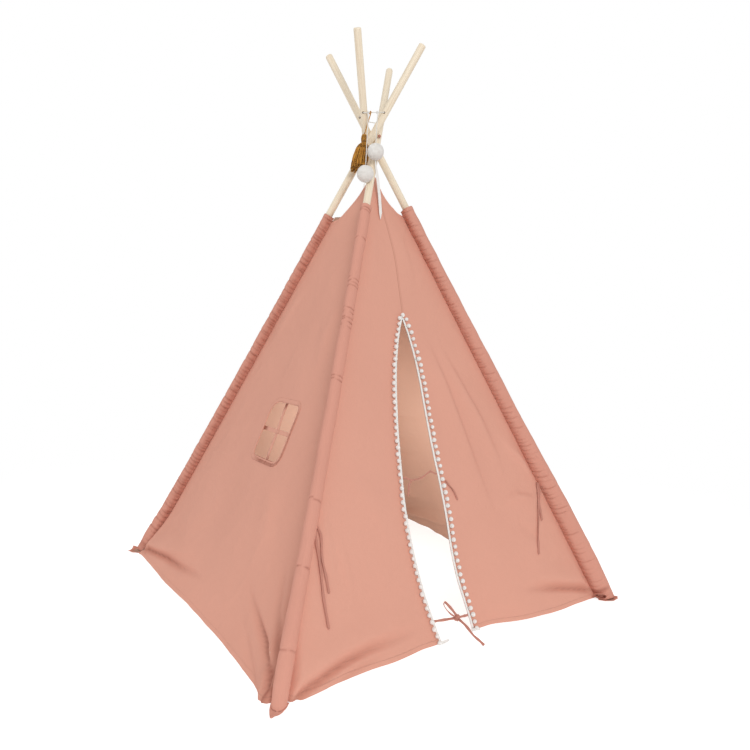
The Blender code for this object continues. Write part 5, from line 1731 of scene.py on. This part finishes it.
# %% Four pockets
def make_pocket(corner):
    pole = POLES[corner]
    out, side, seam = (np.array(column) for column in zip(*pocket_section(POCKET_SIDES)))
    share = np.linspace(0, 1, POCKET_ROWS)[:, None]
    start = np.array([pole.at_height(FOOT_THICKNESS + GAP, o, s) for o, s in zip(out, side)])
    length_here = POCKET_LENGTHS[corner]
    along = start[None, :] + (length_here - start[None, :]) * share
    seam_row = np.broadcast_to(seam[None, :], along.shape)
    pull = np.zeros_like(along)
    for flank in (0, 1):
        mine = (side >= 0) == (flank == 0)
        pull[:, mine] = tucks(along[:, mine], seam_row[:, mine], corner, flank)
    turn = np.where(side >= 0, 1.0, -1.0)[None, :]
    slack = 0.0009 * smooth_noise(along / 0.05, seam[None, :] * 2 + turn, 80 + corner)
    slack = slack + 0.0005 * smooth_noise(along / 0.013, seam[None, :] * 2.4 + turn * 3, 84 + corner)
    hem = 0.0008 * smooth_step((along - length_here + 0.018) / 0.002)
    grow = np.where((seam > 0.97)[None, :], 0, slack + hem + POCKET_EASE[corner] - pull)
    loose = np.where(out[None, :] > 0, curve(along, LOOSE_OUT[corner]), 1)
    wide = np.where(side[None, :] < 0, curve(along, LOOSE_LEFT[corner]), curve(along, LOOSE_RIGHT[corner]))
    far = smooth_step((0.97 - seam) / 0.3)[None, :]
    length = np.hypot(out, side)
    direction_out, direction_side = out / length, side / length
    o = out[None, :] * (1 + (loose - 1) * smooth_step(out / 0.008)[None, :]) + direction_out[None, :] * grow
    s = side[None, :] * (1 + (wide - 1) * far) + direction_side[None, :] * grow
    clear = np.maximum(1, POLE_CLEAR / np.hypot(o, s))
    o, s = o * clear, s * clear
    foot, axis, po, ps = (np.array(v) for v in (pole.foot, pole.axis, pole.out, pole.side))
    skins = []
    for inset in (0, CLOTH * 0.7):
        oo, ss = o - direction_out[None, :] * inset, s - direction_side[None, :] * inset
        skins.append((foot + along[..., None] * axis + oo[..., None] * po + ss[..., None] * ps).reshape(-1, 3))
    faces = double_skin(POCKET_ROWS, len(seam))
    item = mesh_from(f"pocket_{CORNERS[corner]}", np.concatenate(skins), faces, [POCKET_CLOTH])
    around = (seam[None, :] * turn * 0.03 + 0 * along).ravel()
    set_uv(item, np.stack([np.tile(around, 2), np.tile(along.ravel(), 2)], -1))
    # Painted shade: darker towards the seam and low down, in a band above the foot and in every tuck as deep as it
    # pulls.
    shade = POCKET_SHADE[corner] * (0.2 + 0.8 * smooth_step((seam[None, :] - 0.35) / 0.4))
    shade = shade * (1 + 0.8 * np.exp(-along / 0.07))
    low = np.exp(-(((along - 0.026 - 0.008 * seam[None, :]) / 0.006) ** 2)) * smooth_step(seam / 0.4)[None, :]
    shade = shade + POCKET_LOW_FOLD[corner] * low + POCKET_CREASE[corner] * (pull / TUCKS[corner][1]) ** 1.1
    set_field(item, "edge", np.tile((length_here - along).ravel(), 2))
    set_field(item, "fold", np.tile(np.clip(shade, 0, 1).ravel(), 2))
    face_outwards(item)
    return item


for corner, name in enumerate(CORNERS):
    pocket = make_pocket(corner)
    dress(pocket, POLE_BODIES[corner], f"sleeve_{name}", "cloth")
    halves = [f"pole_lower_{name}", f"pole_upper_{name}"]
    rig.sheet(pocket, flat=FLAT["pocket"], held="gathered", rests_on=halves)
print("pocket faces", len(pocket.data.polygons))

# %% [markdown]
# ### Foot flaps
# Past the pole's foot the pocket ends in a loose tongue of cloth. It lies under the pole and curls
# up at its sides and tip, a little differently at each corner.


# %% Foot flaps
# Each tongue's "dark" is painted shade, darkest along its middle under the pole and fading towards its tip.
FEET = (
    {"reach": 0.043, "left": [(-0.016, -0.024), (0.02, -0.016), (0.043, -0.006)], "curl": (0.0, 0.0),
     "right": [(-0.016, 0.014), (0.006, 0.014), (0.026, 0.008), (0.043, -0.003)], "tip": 0.001, "dark": 0.1},
    {"reach": 0.04, "left": [(-0.016, -0.02), (0.012, -0.024), (0.028, -0.023), (0.04, -0.016)],
     "curl": (0.003, 0.008),
     "right": [(-0.016, 0.016), (0.01, 0.016), (0.028, 0.002), (0.04, -0.01)], "tip": 0.006, "dark": 0.4},
    {"reach": 0.038, "left": [(-0.016, -0.018), (0.038, -0.01)], "curl": (0.005, 0.005),
     "right": [(-0.016, 0.018), (0.038, 0.01)], "tip": 0.003, "dark": 0.2},
    {"reach": 0.036, "left": [(-0.016, -0.018), (0.01, -0.008), (0.036, 0.01)], "curl": (0.01, 0.003),
     "right": [(-0.016, 0.022), (0.01, 0.036), (0.036, 0.048)], "tip": 0.007, "dark": 0.9},
)
FOOT_AREA = 0.0021


def make_foot(corner):
    pole, shape = POLES[corner], FEET[corner]
    rows, columns = 30, 24
    heel, outer, uv, shade = 0.016, [], [], []
    for i in range(rows + 1):
        t = i / rows
        out = -heel + (shape["reach"] + heel) * t
        left, right = (float(curve(np.array(out), shape[edge])) for edge in ("left", "right"))
        free = float(smooth_step((t - 0.3) / 0.35))
        tip = shape["tip"] * float(smooth_step((t - 0.6) / 0.4)) ** 1.5
        for j in range(columns + 1):
            u = 2 * j / columns - 1
            curl = shape["curl"][0 if u < 0 else 1] * abs(u) ** 2.2 * free
            ripple = 0.0016 * float(smooth_noise(np.array([t * 7.0]), np.array([u * 3.0]), 90 + corner)[0]) * free
            height = 0.0014 + curl + tip + max(ripple, -0.0005)
            side = left + (right - left) * (u + 1) / 2 - curl * 0.5 * u
            outer.append(pole.foot + pole.outward * (out - tip * 0.4) + pole.sideways * side + UP * height)
            uv.append((u * 0.019, out))
            # Painted shade, darkest under the pole.
            shade.append(shape["dark"] * (1 - u * u) * (1 - t) ** 0.7)
    row = columns + 1
    starts = [i * row + j for i in range(rows) for j in range(columns)]
    faces = [(a, a + row, a + row + 1, a + 1) for a in starts]
    name = f"foot_tongue_{CORNERS[corner]}"
    flat = mesh_from(name, outer, faces, [POCKET_CLOTH, PINK_INSIDE])
    set_uv(flat, uv)
    set_field(flat, "edge", np.full(len(outer), 0.1))
    set_field(flat, "fold", shade)
    solid = flat.modifiers.new("thickness", "SOLIDIFY")
    solid.thickness, solid.offset = CLOTH, 0
    item = baked(name, flat)
    face_outwards(item)
    # At the back-left corner the middle of the tongue's upper face takes the inside material, whose tan paints light
    # coming through the cloth.
    if corner == 3:
        places = item.data.uv_layers["cloth"].data
        for face in item.data.polygons:
            inside = all(abs(places[k].uv.x) < 0.013 and places[k].uv.y < 0.028 for k in face.loop_indices)
            face.material_index = 1 if inside and face.normal.z > 0.2 else 0
    return item


# %% Rolled end and hanging the tongues
def make_roll(name, mouth, way, length, half_width, half_height):
    """The pocket's open end, rolled under: a short flattened tube with its inside showing."""
    sides, rows = 24, 9
    level = Vector((-way.y, way.x, 0)).normalized()
    points = []
    for inset in (0.0, 0.0011):
        for k in range(rows):
            share = k / (rows - 1)
            size = (1 - 0.25 * share) * (1 + 0.12 * (1 - share) ** 4)
            for n in range(sides):
                a = 2 * math.pi * n / sides
                wave = 1 + 0.1 * math.sin(3 * a + 1)
                x = (half_width * size * wave - inset) * math.cos(a)
                z = max((half_height * size * wave - inset) * math.sin(a), 0.0012 + inset - mouth.z)
                back_by = length * share + 0.002 * math.cos(a + 2) * (1 - share)
                points.append(mouth + way * back_by + level * x + UP * z)
    item = mesh_from(name, points, double_skin(rows, sides), [POCKET_CLOTH])
    scatter_uv(item, 6)
    # Painted shade: the roll's inner skin is darkened strongly as the shaded hollow, its outer skin barely.
    for label, outside, inside in (("edge", 0.1, 0.1), ("fold", 0.05, 0.85)):
        set_field(item, label, np.repeat([outside, inside], rows * sides))
    face_outwards(item)
    return item


ROLL_MOUTH = POLES[1].foot + Vector((-0.0275, -0.0108, 0.0155))
roll = make_roll("foot_roll_front_right", ROLL_MOUTH, Vector((0.82, 0.57, 0)), 0.02, 0.0155, 0.0068)
dress(roll, POLE_BODIES[1], "foot_flap_front_right", "cloth")
for corner, name in enumerate(CORNERS):
    foot = make_foot(corner)
    dress(foot, POLE_BODIES[corner], f"foot_flap_{name}", "cloth")
    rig.sheet(foot, flat=FLAT["foot"], held="laid", rests_on=[f"pole_lower_{name}"], area=FOOT_AREA)
print("foot tongues", len(FEET))

# %% [markdown]
# ## Window binding and bars
# The opening is finished with a folded band, gathered round the corners, and two narrow bars cross
# it. The band is a soft section swept round the outline, with its gathers as a ripple on it.


# %% Binding
# Rows across the band: share of its width and lift above the wall.
BAND_ROWS = ((0.0, 0.0004), (0.04, 0.0019), (0.3, 0.0024), (0.7, 0.0022), (0.94, 0.0016), (1.0, 0.0004))
BAND_EDGE = (0.0135, 0.013, 0.009, 0.004, 0.012, 0.0125, 0.013, 0.0135)
# Painted shade across the rows, where the band rolls into the opening on its right and bottom.
BAND_DEPTH = (1.0, 1.0, 1.0, 0.95, 0.7, 0.3, 0.0, 1.0)
BAND_ROLL = 0.0065


def make_binding():
    inner, outer = window_outline(-0.001, 24, 34), window_outline(BINDING_WIDTH, 24, 34)
    steps = np.linalg.norm(np.diff(inner, axis=0), axis=1)
    run = np.concatenate([[0], np.cumsum(steps)])
    away = inner - np.array([WINDOW_OFFSET, WINDOW_DISTANCE])
    toward = away / np.linalg.norm(away, axis=1)[:, None]
    rolled = smooth_step((toward @ np.array([0.8, -0.6]) + 0.1) / 0.5)
    rows, uv = [], []
    for share, lift in BAND_ROWS:
        spot = inner + (outer - inner) * share
        swell = math.sin(math.pi * min(max(share, 0.05), 0.95))
        gather = np.abs(smooth_noise(run / 0.0055, 0 * run + share, 5)) * swell
        level = lift * (0.35 + 0.65 * rolled) - rolled * BAND_ROLL * max(0, 1 - share / 0.6)
        rows.append(offset_points(3, spot[:, 0], spot[:, 1], level + (0.0004 + 0.0014 * rolled) * gather))
        uv.append(np.stack([run, 0 * run + share * BINDING_WIDTH], -1))
    rows.append(offset_points(3, outer[:, 0], outer[:, 1], -0.0002))
    rows.append(offset_points(3, inner[:, 0], inner[:, 1], -0.0016 - BAND_ROLL * rolled))
    uv += [uv[-1], uv[0]]
    points = np.stack(rows, 1).reshape(-1, 3)
    item = mesh_from("window_band", points, quads(len(inner), len(rows), closed=True), [PINK_CLOTH])
    set_uv(item, np.stack(uv, 1).reshape(-1, 2))
    set_field(item, "edge", np.tile(BAND_EDGE, len(inner)))
    # Painted shade on the rolled part, patchy along the gathers.
    puckered = 0.65 + 0.35 * np.abs(smooth_noise(run / 0.006, 0 * run, 5))
    set_field(item, "fold", np.outer(rolled * puckered, BAND_DEPTH).ravel())
    face_outwards(item)
    return item


binding = make_binding()
dress(binding, POLE_BODIES[0], "window_binding", "cloth")
gather_with_pole(binding, 3, 0)
print("window band", len(binding.data.polygons), "faces")


# %% Bars
BAR_WIDTH, BAR_THICKNESS, BAR_LIFT = 0.0112, 0.0014, -0.0032


def make_bar(name, start, end, bow, shades):
    """A flat strip of cloth between two places of the window wall, sagging a little, with painted shadow near its ends
    and where the bars cross.
    """
    steps = 24
    route = []
    for k in range(steps + 1):
        x, y = (a + (b - a) * k / steps for a, b in zip(start, end))
        sag = bow * math.sin(math.pi * k / steps)
        dive = 0.006 * (abs(2 * k / steps - 1) ** 6)
        route.append(on_wall(3, x + sag, y - sag * 0.4, BAR_LIFT - dive, False))
    widths = [BAR_WIDTH + 0.0006 * math.sin(k * 1.7) for k in range(steps + 1)]
    item = ribbon(name, route, widths, BAR_THICKNESS, wall_normal(3), PINK_CLOTH, 0.05)
    scatter_uv(item, 8)
    first, last = np.array(route[0]), np.array(route[-1])
    run = (last - first) / np.linalg.norm(last - first) ** 2
    along_bar = np.array([(np.array(v.co) - first) @ run for v in item.data.vertices])
    # Painted shadow where the strip dives under the band and where the two bars cross.
    shade = sum(depth * np.exp(-(((along_bar - place) / reach) ** 2)) for place, reach, depth in shades)
    set_field(item, "edge", 0.1 + 0 * shade)
    set_field(item, "fold", np.clip(shade, 0, 1))
    dress(item, POLE_BODIES[0], "window_bars", "cloth")
    gather_with_pole(item, 3, 0)


reach_x, reach_y = WINDOW_WIDTH / 2 + 0.014, WINDOW_HEIGHT / 2 + 0.018
# Each bar's painted shadows are given as place along it, reach and strength.
for name, move_x, move_y, bow, shades in (
    ("level", reach_x, 0, 0.0, ((0.12, 0.06, 1.0), (0.56, 0.02, 0.6))),
    ("upright", -0.006, reach_y, 0.005, ((0.9, 0.05, 1.0), (0.1, 0.03, 0.6))),
):
    start, end = ((WINDOW_OFFSET + move_x * sign, WINDOW_DISTANCE + move_y * sign) for sign in (-1, 1))
    make_bar(f"window_bar_{name}", start, end, bow, shades)

# %% [markdown]
# ## Pompom trim
# A white tape is sewn along the slit with a row of small pompoms on its cloth side. Geometry Nodes
# suit it well: one tree resamples a line at the pompom pitch and puts a fluffed ball on each point,
# so the pitch and the size stay plain inputs.


# %% Pompom tree
def geometry_tree(name, inputs):
    shape = ("Geometry", "Geometry", None)
    return new_tree(name, "GeometryNodeTree", [shape, *inputs], [shape[:2]])


def random_value(tree, kind, seed, low=None, high=None):
    """A random number or vector for each instance, from a fixed seed."""
    made = node(tree, "FunctionNodeRandomValue", {"data_type": kind}, Seed=seed)
    first = {"FLOAT_VECTOR": 0, "FLOAT": 2}[kind]
    if low is not None:
        made.inputs[first].default_value = low
    made.inputs[first + 1].default_value = high
    return made.outputs[{"FLOAT_VECTOR": 0, "FLOAT": 1}[kind]]


def close_tree(tree, end, geometry, material):
    """Smooth shading and the material are the last two steps of a tree."""
    smooth = node(tree, "GeometryNodeSetShadeSmooth", Geometry=geometry)
    finish = node(tree, "GeometryNodeSetMaterial", Geometry=smooth.outputs[0], Material=material)
    feed(tree, end.inputs[0], finish.outputs[0])


def make_pompom_tree():
    inputs = [
        ("Pitch", "Float", 0.017), ("Diameter", "Float", 0.012), ("Fluff", "Float", 0.1),
        ("Material", "Material", None),
    ]
    tree, start, end = geometry_tree("pompoms", inputs)
    _, minus, times = arithmetic(tree)
    given = start.outputs
    line = node(tree, "GeometryNodeMeshToCurve", Mesh=given["Geometry"]).outputs[0]
    spaced = node(tree, "GeometryNodeResampleCurve", {"mode": "LENGTH"}, Curve=line, Length=given["Pitch"])
    ball = node(tree, "GeometryNodeMeshIcoSphere", Radius=times(given["Diameter"], 0.5), Subdivisions=3)
    placed = node(
        tree, "GeometryNodeInstanceOnPoints", Points=spaced.outputs[0], Instance=ball.outputs[0],
        Rotation=random_value(tree, "FLOAT_VECTOR", 5, high=(6.28, 6.28, 6.28)),
        Scale=random_value(tree, "FLOAT", 9, 0.9, 1.08),
    )
    real = node(tree, "GeometryNodeRealizeInstances", Geometry=placed.outputs[0])
    rough = node(tree, "ShaderNodeTexNoise", Scale=420.0, Detail=1.0).outputs[0]
    away = times(minus(rough, 0.5), times(given["Fluff"], given["Diameter"]))
    normal = node(tree, "GeometryNodeInputNormal").outputs[0]
    push = node(tree, "ShaderNodeVectorMath", {"operation": "SCALE"}, i0=normal, Scale=away)
    fluffed = node(tree, "GeometryNodeSetPosition", Geometry=real.outputs[0], Offset=push.outputs[0])
    close_tree(tree, end, fluffed.outputs[0], given["Material"])
    return tree


# %% Running a tree
def grown(name, points, edges, tree, **values):
    """Runs a Geometry Nodes tree on lines and keeps the result as a plain mesh."""
    mesh = bpy.data.meshes.new(f"{name}_line")
    mesh.from_pydata([tuple(p) for p in points], edges, [])
    source = new_object(f"{name}_guide", mesh)
    modifier = source.modifiers.new("made", "NODES")
    modifier.node_group = tree
    for socket in tree.interface.items_tree:
        if socket.item_type == "SOCKET" and socket.in_out == "INPUT" and socket.name in values:
            modifier[socket.identifier] = values[socket.name]
    return baked(name, source)


POMPOMS = make_pompom_tree()
print("pompom tree has", len(POMPOMS.nodes), "nodes")


# %% Tape and pompoms
def edge_line(side, start, end, steps):
    """(offset, distance, cloth side x, cloth side y) along the slit's edge."""
    direction = -1 if side == 0 else 1
    levels = [start + (end - start) * k / steps for k in range(steps + 1)]
    return [(float(slit_offsets(level)[side]), level, direction, 0) for level in levels]


def top_line():
    up, down = edge_line(0, FLAP_TOP, DOOR_TOP, 12), edge_line(1, DOOR_TOP, FLAP_TOP, 12)
    turns = [QUARTER * k / 3 for k in range(1, 6)]
    return up[:-1] + [(SLIT_TOP_OFFSET, DOOR_TOP, -math.cos(a), math.sin(a)) for a in turns] + down[1:]


POMPOM_PITCH, POMPOM_DIAMETER, POMPOM_FLUFF = 0.0178, 0.0116, 0.16
POMPOM_AWAY, POMPOM_STRAY = 0.0112, 0.0022
TAPE_WIDTH = 0.006
TAPE_ROWS = ((-0.04, 0.0002), (0.0, 0.0013), (0.3, 0.0016), (0.7, 0.0015), (1.0, 0.0012), (1.03, 0.0002))
TAPE_END = ((-0.004, 0.003), (0.004, 0.006), (0.012, 0.008), (0.018, 0.009))


def make_tape(name, line):
    """A low strip of tape along the slit's edge, with closed ends."""
    offsets, levels, side_x, side_y = (np.array(c) for c in zip(*line))
    run = np.concatenate([[0], np.cumsum(np.hypot(np.diff(offsets), np.diff(levels)))])
    wave = 0.0006 * smooth_noise(run / 0.02, 0 * run, 21)
    rows = []
    for reach, lift in TAPE_ROWS:
        x, y = offsets + side_x * TAPE_WIDTH * reach, levels + side_y * TAPE_WIDTH * reach
        rows.append(offset_points(0, x, y, lift + wave * (0.3 < reach < 1)))
    ring, last = len(rows), (len(line) - 1) * len(rows)
    faces = quads(len(line), ring) + [tuple(range(ring)), tuple(last + k for k in reversed(range(ring)))]
    item = mesh_from(name, np.stack(rows, 1).reshape(-1, 3), faces, [COTTON])
    outwards(item)
    return item


def pompom_row(name, line):
    offsets, levels, side_x, side_y = (np.array(c) for c in zip(*line))
    count = len(offsets)
    away = POMPOM_AWAY + POMPOM_STRAY * smooth_noise(np.arange(count) / 2.3, np.arange(count) * 0.37, 27)
    places = offset_points(0, offsets + side_x * away, levels + side_y * away, POMPOM_DIAMETER * 0.5)
    edges = [(k, k + 1) for k in range(count - 1)]
    return grown(
        name, places, edges, POMPOMS,
        Pitch=POMPOM_PITCH, Diameter=POMPOM_DIAMETER, Fluff=POMPOM_FLUFF, Material=COTTON,
    )


def tape_end(word, side):
    """The tape's loose end, turned out past the hem."""
    edge = float(slit_offsets(HEM)[side])
    route = smooth_route([on_wall(0, edge + x, HEM, lift) for x, lift in TAPE_END], 4)
    count = len(route)
    widths = [0.0075 - 0.003 * k / count + 0.0012 * math.sin(k * 1.9) for k in range(count)]
    return ribbon(f"tape_end_{word}", route, widths, 0.0025, (-0.45, -0.6, 0.66), COTTON, 0.15)


# %% Three trims
def make_trim(word, line, body, cad_name, corner, more=()):
    """Tape, pompoms and any loose end joined into one piece."""
    pieces = [make_tape(f"tape_{word}", line), pompom_row(f"balls_{word}", line), *more]
    shape = bmesh.new()
    for piece in pieces:
        shape.from_mesh(piece.data)
    name = f"pompom_trim_{word}"
    mesh = bpy.data.meshes.new(name)
    shape.to_mesh(mesh)
    shape.free()
    for piece in pieces:
        bpy.data.objects.remove(piece, do_unlink=True)
    mesh.shade_smooth()
    trim = new_object(name, mesh, [COTTON])
    dress(trim, body, cad_name, "trim")
    gather_with_pole(trim, 0, corner)
    print(name, len(mesh.polygons), "faces")


for side, word in enumerate(("left", "right")):
    line = edge_line(side, HEM + 0.003, FLAP_TOP - 0.0006, 120)
    make_trim(word, line, f"door_{word}", f"trim_{word}", side, [tape_end(word, side)])
line = top_line()
half = len(line) // 2
make_trim("top_left", line[: half + 1], POLE_BODIES[0], "trim_top", 0)
make_trim("top_right", line[half:], POLE_BODIES[1], "trim_top", 1)

# %% [markdown]
# ## Felt balls
# Two wool balls, each about five centimetres across. Felt is never quite round and has a short
# nap, so a fine sphere gets low swells, small dents and a rough skin.


# %% Felt balls
SWELL, NAP = 0.018, 0.008
for name, centre in BALLS.items():
    def moved(d):
        swell = SWELL * float(smooth_noise(np.float64(d.x * 2 + 5), np.float64(d.y * 2 + d.z * 1.3), 23))
        nap = NAP * float(smooth_noise(np.float64(d.x * 16 + d.z * 9), np.float64(d.y * 16 - d.z * 11), 24))
        return d * (BALL_DIAMETER / 2) * (1 + swell + nap)

    ball = shaped_ball(f"felt_ball_{name}", 6, centre, FELT, moved)
    dress(ball, f"{name}_ball", f"ball_{name}", "felt")
print("felt balls", BALL_DIAMETER, "m across")

# %% [markdown]
# ## Tassel
# A hank of mustard yarn, bound at its neck. Each strand leaves the binding, fans out and turns
# back on itself at the bottom, as uncut loops do. The strands are guide lines made here; a Geometry
# Nodes tree gives each one its plied, slightly wobbling thickness.


# %% Yarn tree
def make_yarn_tree():
    inputs = [
        ("Diameter", "Float", 0.0022), ("Twist", "Float", 900.0), ("Wobble", "Float", 0.0006),
        ("Material", "Material", None),
    ]
    tree, start, end = geometry_tree("yarn", inputs)
    _, _, times = arithmetic(tree)
    given = start.outputs
    line = node(tree, "GeometryNodeMeshToCurve", Mesh=given["Geometry"])
    drift = node(tree, "ShaderNodeTexNoise", Scale=110.0, Detail=1.0).outputs["Color"]
    centred = node(tree, "ShaderNodeVectorMath", {"operation": "SUBTRACT"}, i0=drift, i1=(0.5, 0.5, 0.5))
    sway = node(tree, "ShaderNodeVectorMath", {"operation": "SCALE"}, i0=centred.outputs[0], Scale=given["Wobble"])
    wobbled = node(tree, "GeometryNodeSetPosition", Geometry=line.outputs[0], Offset=sway.outputs[0])
    run = node(tree, "GeometryNodeSplineParameter").outputs["Length"]
    tilted = node(tree, "GeometryNodeSetCurveTilt", Curve=wobbled.outputs[0], Tilt=times(run, given["Twist"]))
    star = node(
        tree, "GeometryNodeCurveStar", Points=3,
        Inner_Radius=times(given["Diameter"], 0.33), Outer_Radius=times(given["Diameter"], 0.55),
    )
    tube = node(
        tree, "GeometryNodeCurveToMesh", Curve=tilted.outputs[0], Profile_Curve=star.outputs[0], Fill_Caps=True
    )
    close_tree(tree, end, tube.outputs[0], given["Material"])
    return tree


YARN_TREE = make_yarn_tree()


def yarn(name, lines, diameter, twist=900.0, wobble=0.0006):
    edges, points = [], []
    for line in lines:
        edges += [(len(points) + k, len(points) + k + 1) for k in range(len(line) - 1)]
        points += line
    return grown(name, points, edges, YARN_TREE, Diameter=diameter, Twist=twist, Wobble=wobble, Material=YARN)


# %% Skirt, head and loop
LOOP_DIAMETER = 0.003
STRANDS, PLACES_ROUND = 38, 19
WRAPS, WRAP_PITCH = 9, 0.0022
# The cap's strands: height above the head's middle and reach from its axis.
CAP = ((0.0118, 0), (0.0095, 0.0062), (-0.001, 0.0088), (-0.0125, 0.0072))
head = hanging(-0.0215, 0.0435, HOLE_HEIGHT - 0.079)
tip = head + hanging(-0.018, 0.0035, -0.097)
across_way = UP.cross(FRONT)


def around(angle, wide, deep=None):
    """A move in the tassel's level plane: wide across and deep towards the front."""
    return across_way * (math.cos(angle) * wide) + FRONT * (math.sin(angle) * (wide if deep is None else deep))


dice = np.random.default_rng(19)
lines = []
for k in range(STRANDS):
    angle = 2 * math.pi * (k + 0.3 * dice.random()) / STRANDS * 2
    ring = 0.5 + 0.5 * (k % PLACES_ROUND) / PLACES_ROUND if k % 2 else 1.0
    fan = 0.8 + 0.3 * dice.random()
    drop = 0.86 + 0.16 * dice.random()
    side = around(angle, 0.0225 * ring, 0.0125 * ring) * fan
    back = around(angle + 0.5, 0.02, 0.011) * ring * fan
    strand = [
        head + around(angle, 0.006 * ring) - UP * 0.012, head.lerp(tip, 0.3 * drop) + side * 0.75,
        head.lerp(tip, 0.75 * drop) + side, head.lerp(tip, drop) + side * 0.92,
        head.lerp(tip, 0.72 * drop) + back, head.lerp(tip, 0.16) + back * 0.45,
    ]
    lines.append(smooth_route(strand, 5))
skirt = yarn("yarn_skirt", lines, 0.0036, 700.0, 0.0016)
wraps, cap = [], []
for k in range(WRAPS):
    height = 0.009 - WRAP_PITCH * k
    size = 0.0085 * math.sqrt(max(1 - (height / 0.0135) ** 2, 0.2))
    wraps.append([
        head + UP * (height - WRAP_PITCH * n / 16) + around(2 * math.pi * n / 16 + k, size) for n in range(17)
    ])
for k in range(16):
    a = 2 * math.pi * k / 16
    cap.append(smooth_route([head + UP * height + around(a, reach) for height, reach in CAP], 4))
top = yarn("yarn_head", cap + wraps, 0.0024, wobble=0.0003)
loop_route = knotted_route(span_place(-0.0065), head + UP * 0.0115, LOOP_DIAMETER)
hanger = swept("yarn_loop", loop_route, oval(LOOP_DIAMETER, LOOP_DIAMETER, 10), materials=[YARN])
for item, word in ((skirt, "skirt"), (top, "head"), (hanger, "loop")):
    dress(item, "tassel", f"tassel_{word}", "yarn")
declare_cord(hanger, loop_route, LOOP_DIAMETER)
print("tassel strands", len(lines), "faces", len(skirt.data.polygons))

# %% [markdown]
# ## Light, floor and background
# Plain soft studio light: a large key lamp in front, a weaker one from the left, and a bright,
# even surround. A small lamp inside shows the play space. The white background is what the camera
# sees of the world; the floor is pale and keeps the shadow.


# %% Lamps
def lamp(name, kind, place, power, size):
    """A soft lamp; an area lamp is a disk that faces the middle of the teepee."""
    data = bpy.data.lights.new(name, kind)
    data.energy = power
    item = bpy.data.objects.new(name, data)
    item.location = place
    if kind == "AREA":
        data.shape, data.size = "DISK", size
        item.rotation_euler = (Vector((0, 0, 0.6)) - Vector(place)).to_track_quat("-Z", "Y").to_euler()
    else:
        data.shadow_soft_size = size
        item.visible_camera = False
    bpy.context.scene.collection.objects.link(item)


lamp("key", "AREA", (-0.9, -3.6, 2.5), 57, 1.4)
lamp("fill", "AREA", (-3.6, 0.6, 2.2), 23, 2.0)
lamp("inside", "POINT", (0.02, 0.06, 0.37), 3.1, 0.2)

# %% Background and floor
FLOOR_REACH = 12
FLOOR_FADE = (0.85, 2.1)
SURROUND_STRENGTH = 0.58
world = bpy.data.worlds.new("studio")
bpy.context.scene.world = world
world.use_nodes = True
tree = world.node_tree
tree.nodes.clear()
rays = node(tree, "ShaderNodeLightPath").outputs
seen = rays["Is Camera Ray"]
for label in ("Is Glossy Ray", "Is Transmission Ray"):
    seen = maths(tree, "MAXIMUM", seen, rays[label])
surround, white = (
    node(tree, "ShaderNodeBackground", Color=(1, 1, 1, 1), Strength=strength).outputs[0]
    for strength in (SURROUND_STRENGTH, 1.0)
)
both = node(tree, "ShaderNodeMixShader", i0=seen, i1=surround, i2=white)
node(tree, "ShaderNodeOutputWorld", i0=both.outputs[0])

floor_material, tree, shader = new_material("pale_floor", 0.9, specular=0.1)
add, _, times = arithmetic(tree)
place = node(tree, "ShaderNodeTexCoord").outputs["Object"]
seen = node(tree, "ShaderNodeLightPath").outputs["Is Camera Ray"]
pale = mixed(tree, noise(tree, place, 3.0, 2.0), (0.93, 0.93, 0.93, 1), (0.95, 0.95, 0.95, 1))
feed(tree, shader.inputs["Base Color"], mixed(tree, seen, pale, (0.62, 0.62, 0.62, 1)))
feed(tree, shader.inputs["Emission Strength"], add(times(seen, 0.54), 0.2))
shader.inputs["Emission Color"].default_value = (1, 1, 1, 1)
away = node(tree, "ShaderNodeVectorMath", {"operation": "LENGTH"}, i0=place).outputs["Value"]
fade = node(
    tree, "ShaderNodeMapRange", {"interpolation_type": "SMOOTHSTEP"},
    i0=away, i1=FLOOR_FADE[0], i2=FLOOR_FADE[1], i3=1.0, i4=0.0,
)
feed(tree, shader.inputs["Alpha"], fade.outputs[0])
square = [(x * FLOOR_REACH, y * FLOOR_REACH, 0) for x, y in ((-1, -1), (1, -1), (1, 1), (-1, 1))]
floor = mesh_from("floor", square, [(0, 1, 2, 3)], [floor_material], False)
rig.stage(floor)
bpy.context.scene.view_settings.view_transform = "Standard"

# %% [markdown]
# ## Finish
# The two boxes are written down, so that the dressed model can be held against its frame.

# %% Boxes and finish
dressed_box = [list(corner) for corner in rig.bounds()]
print("dressed box", [[round(x, 3) for x in corner] for corner in dressed_box])
with open("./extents.json", "w") as file:
    json.dump({"cad": cad_box, "visual": dressed_box}, file)
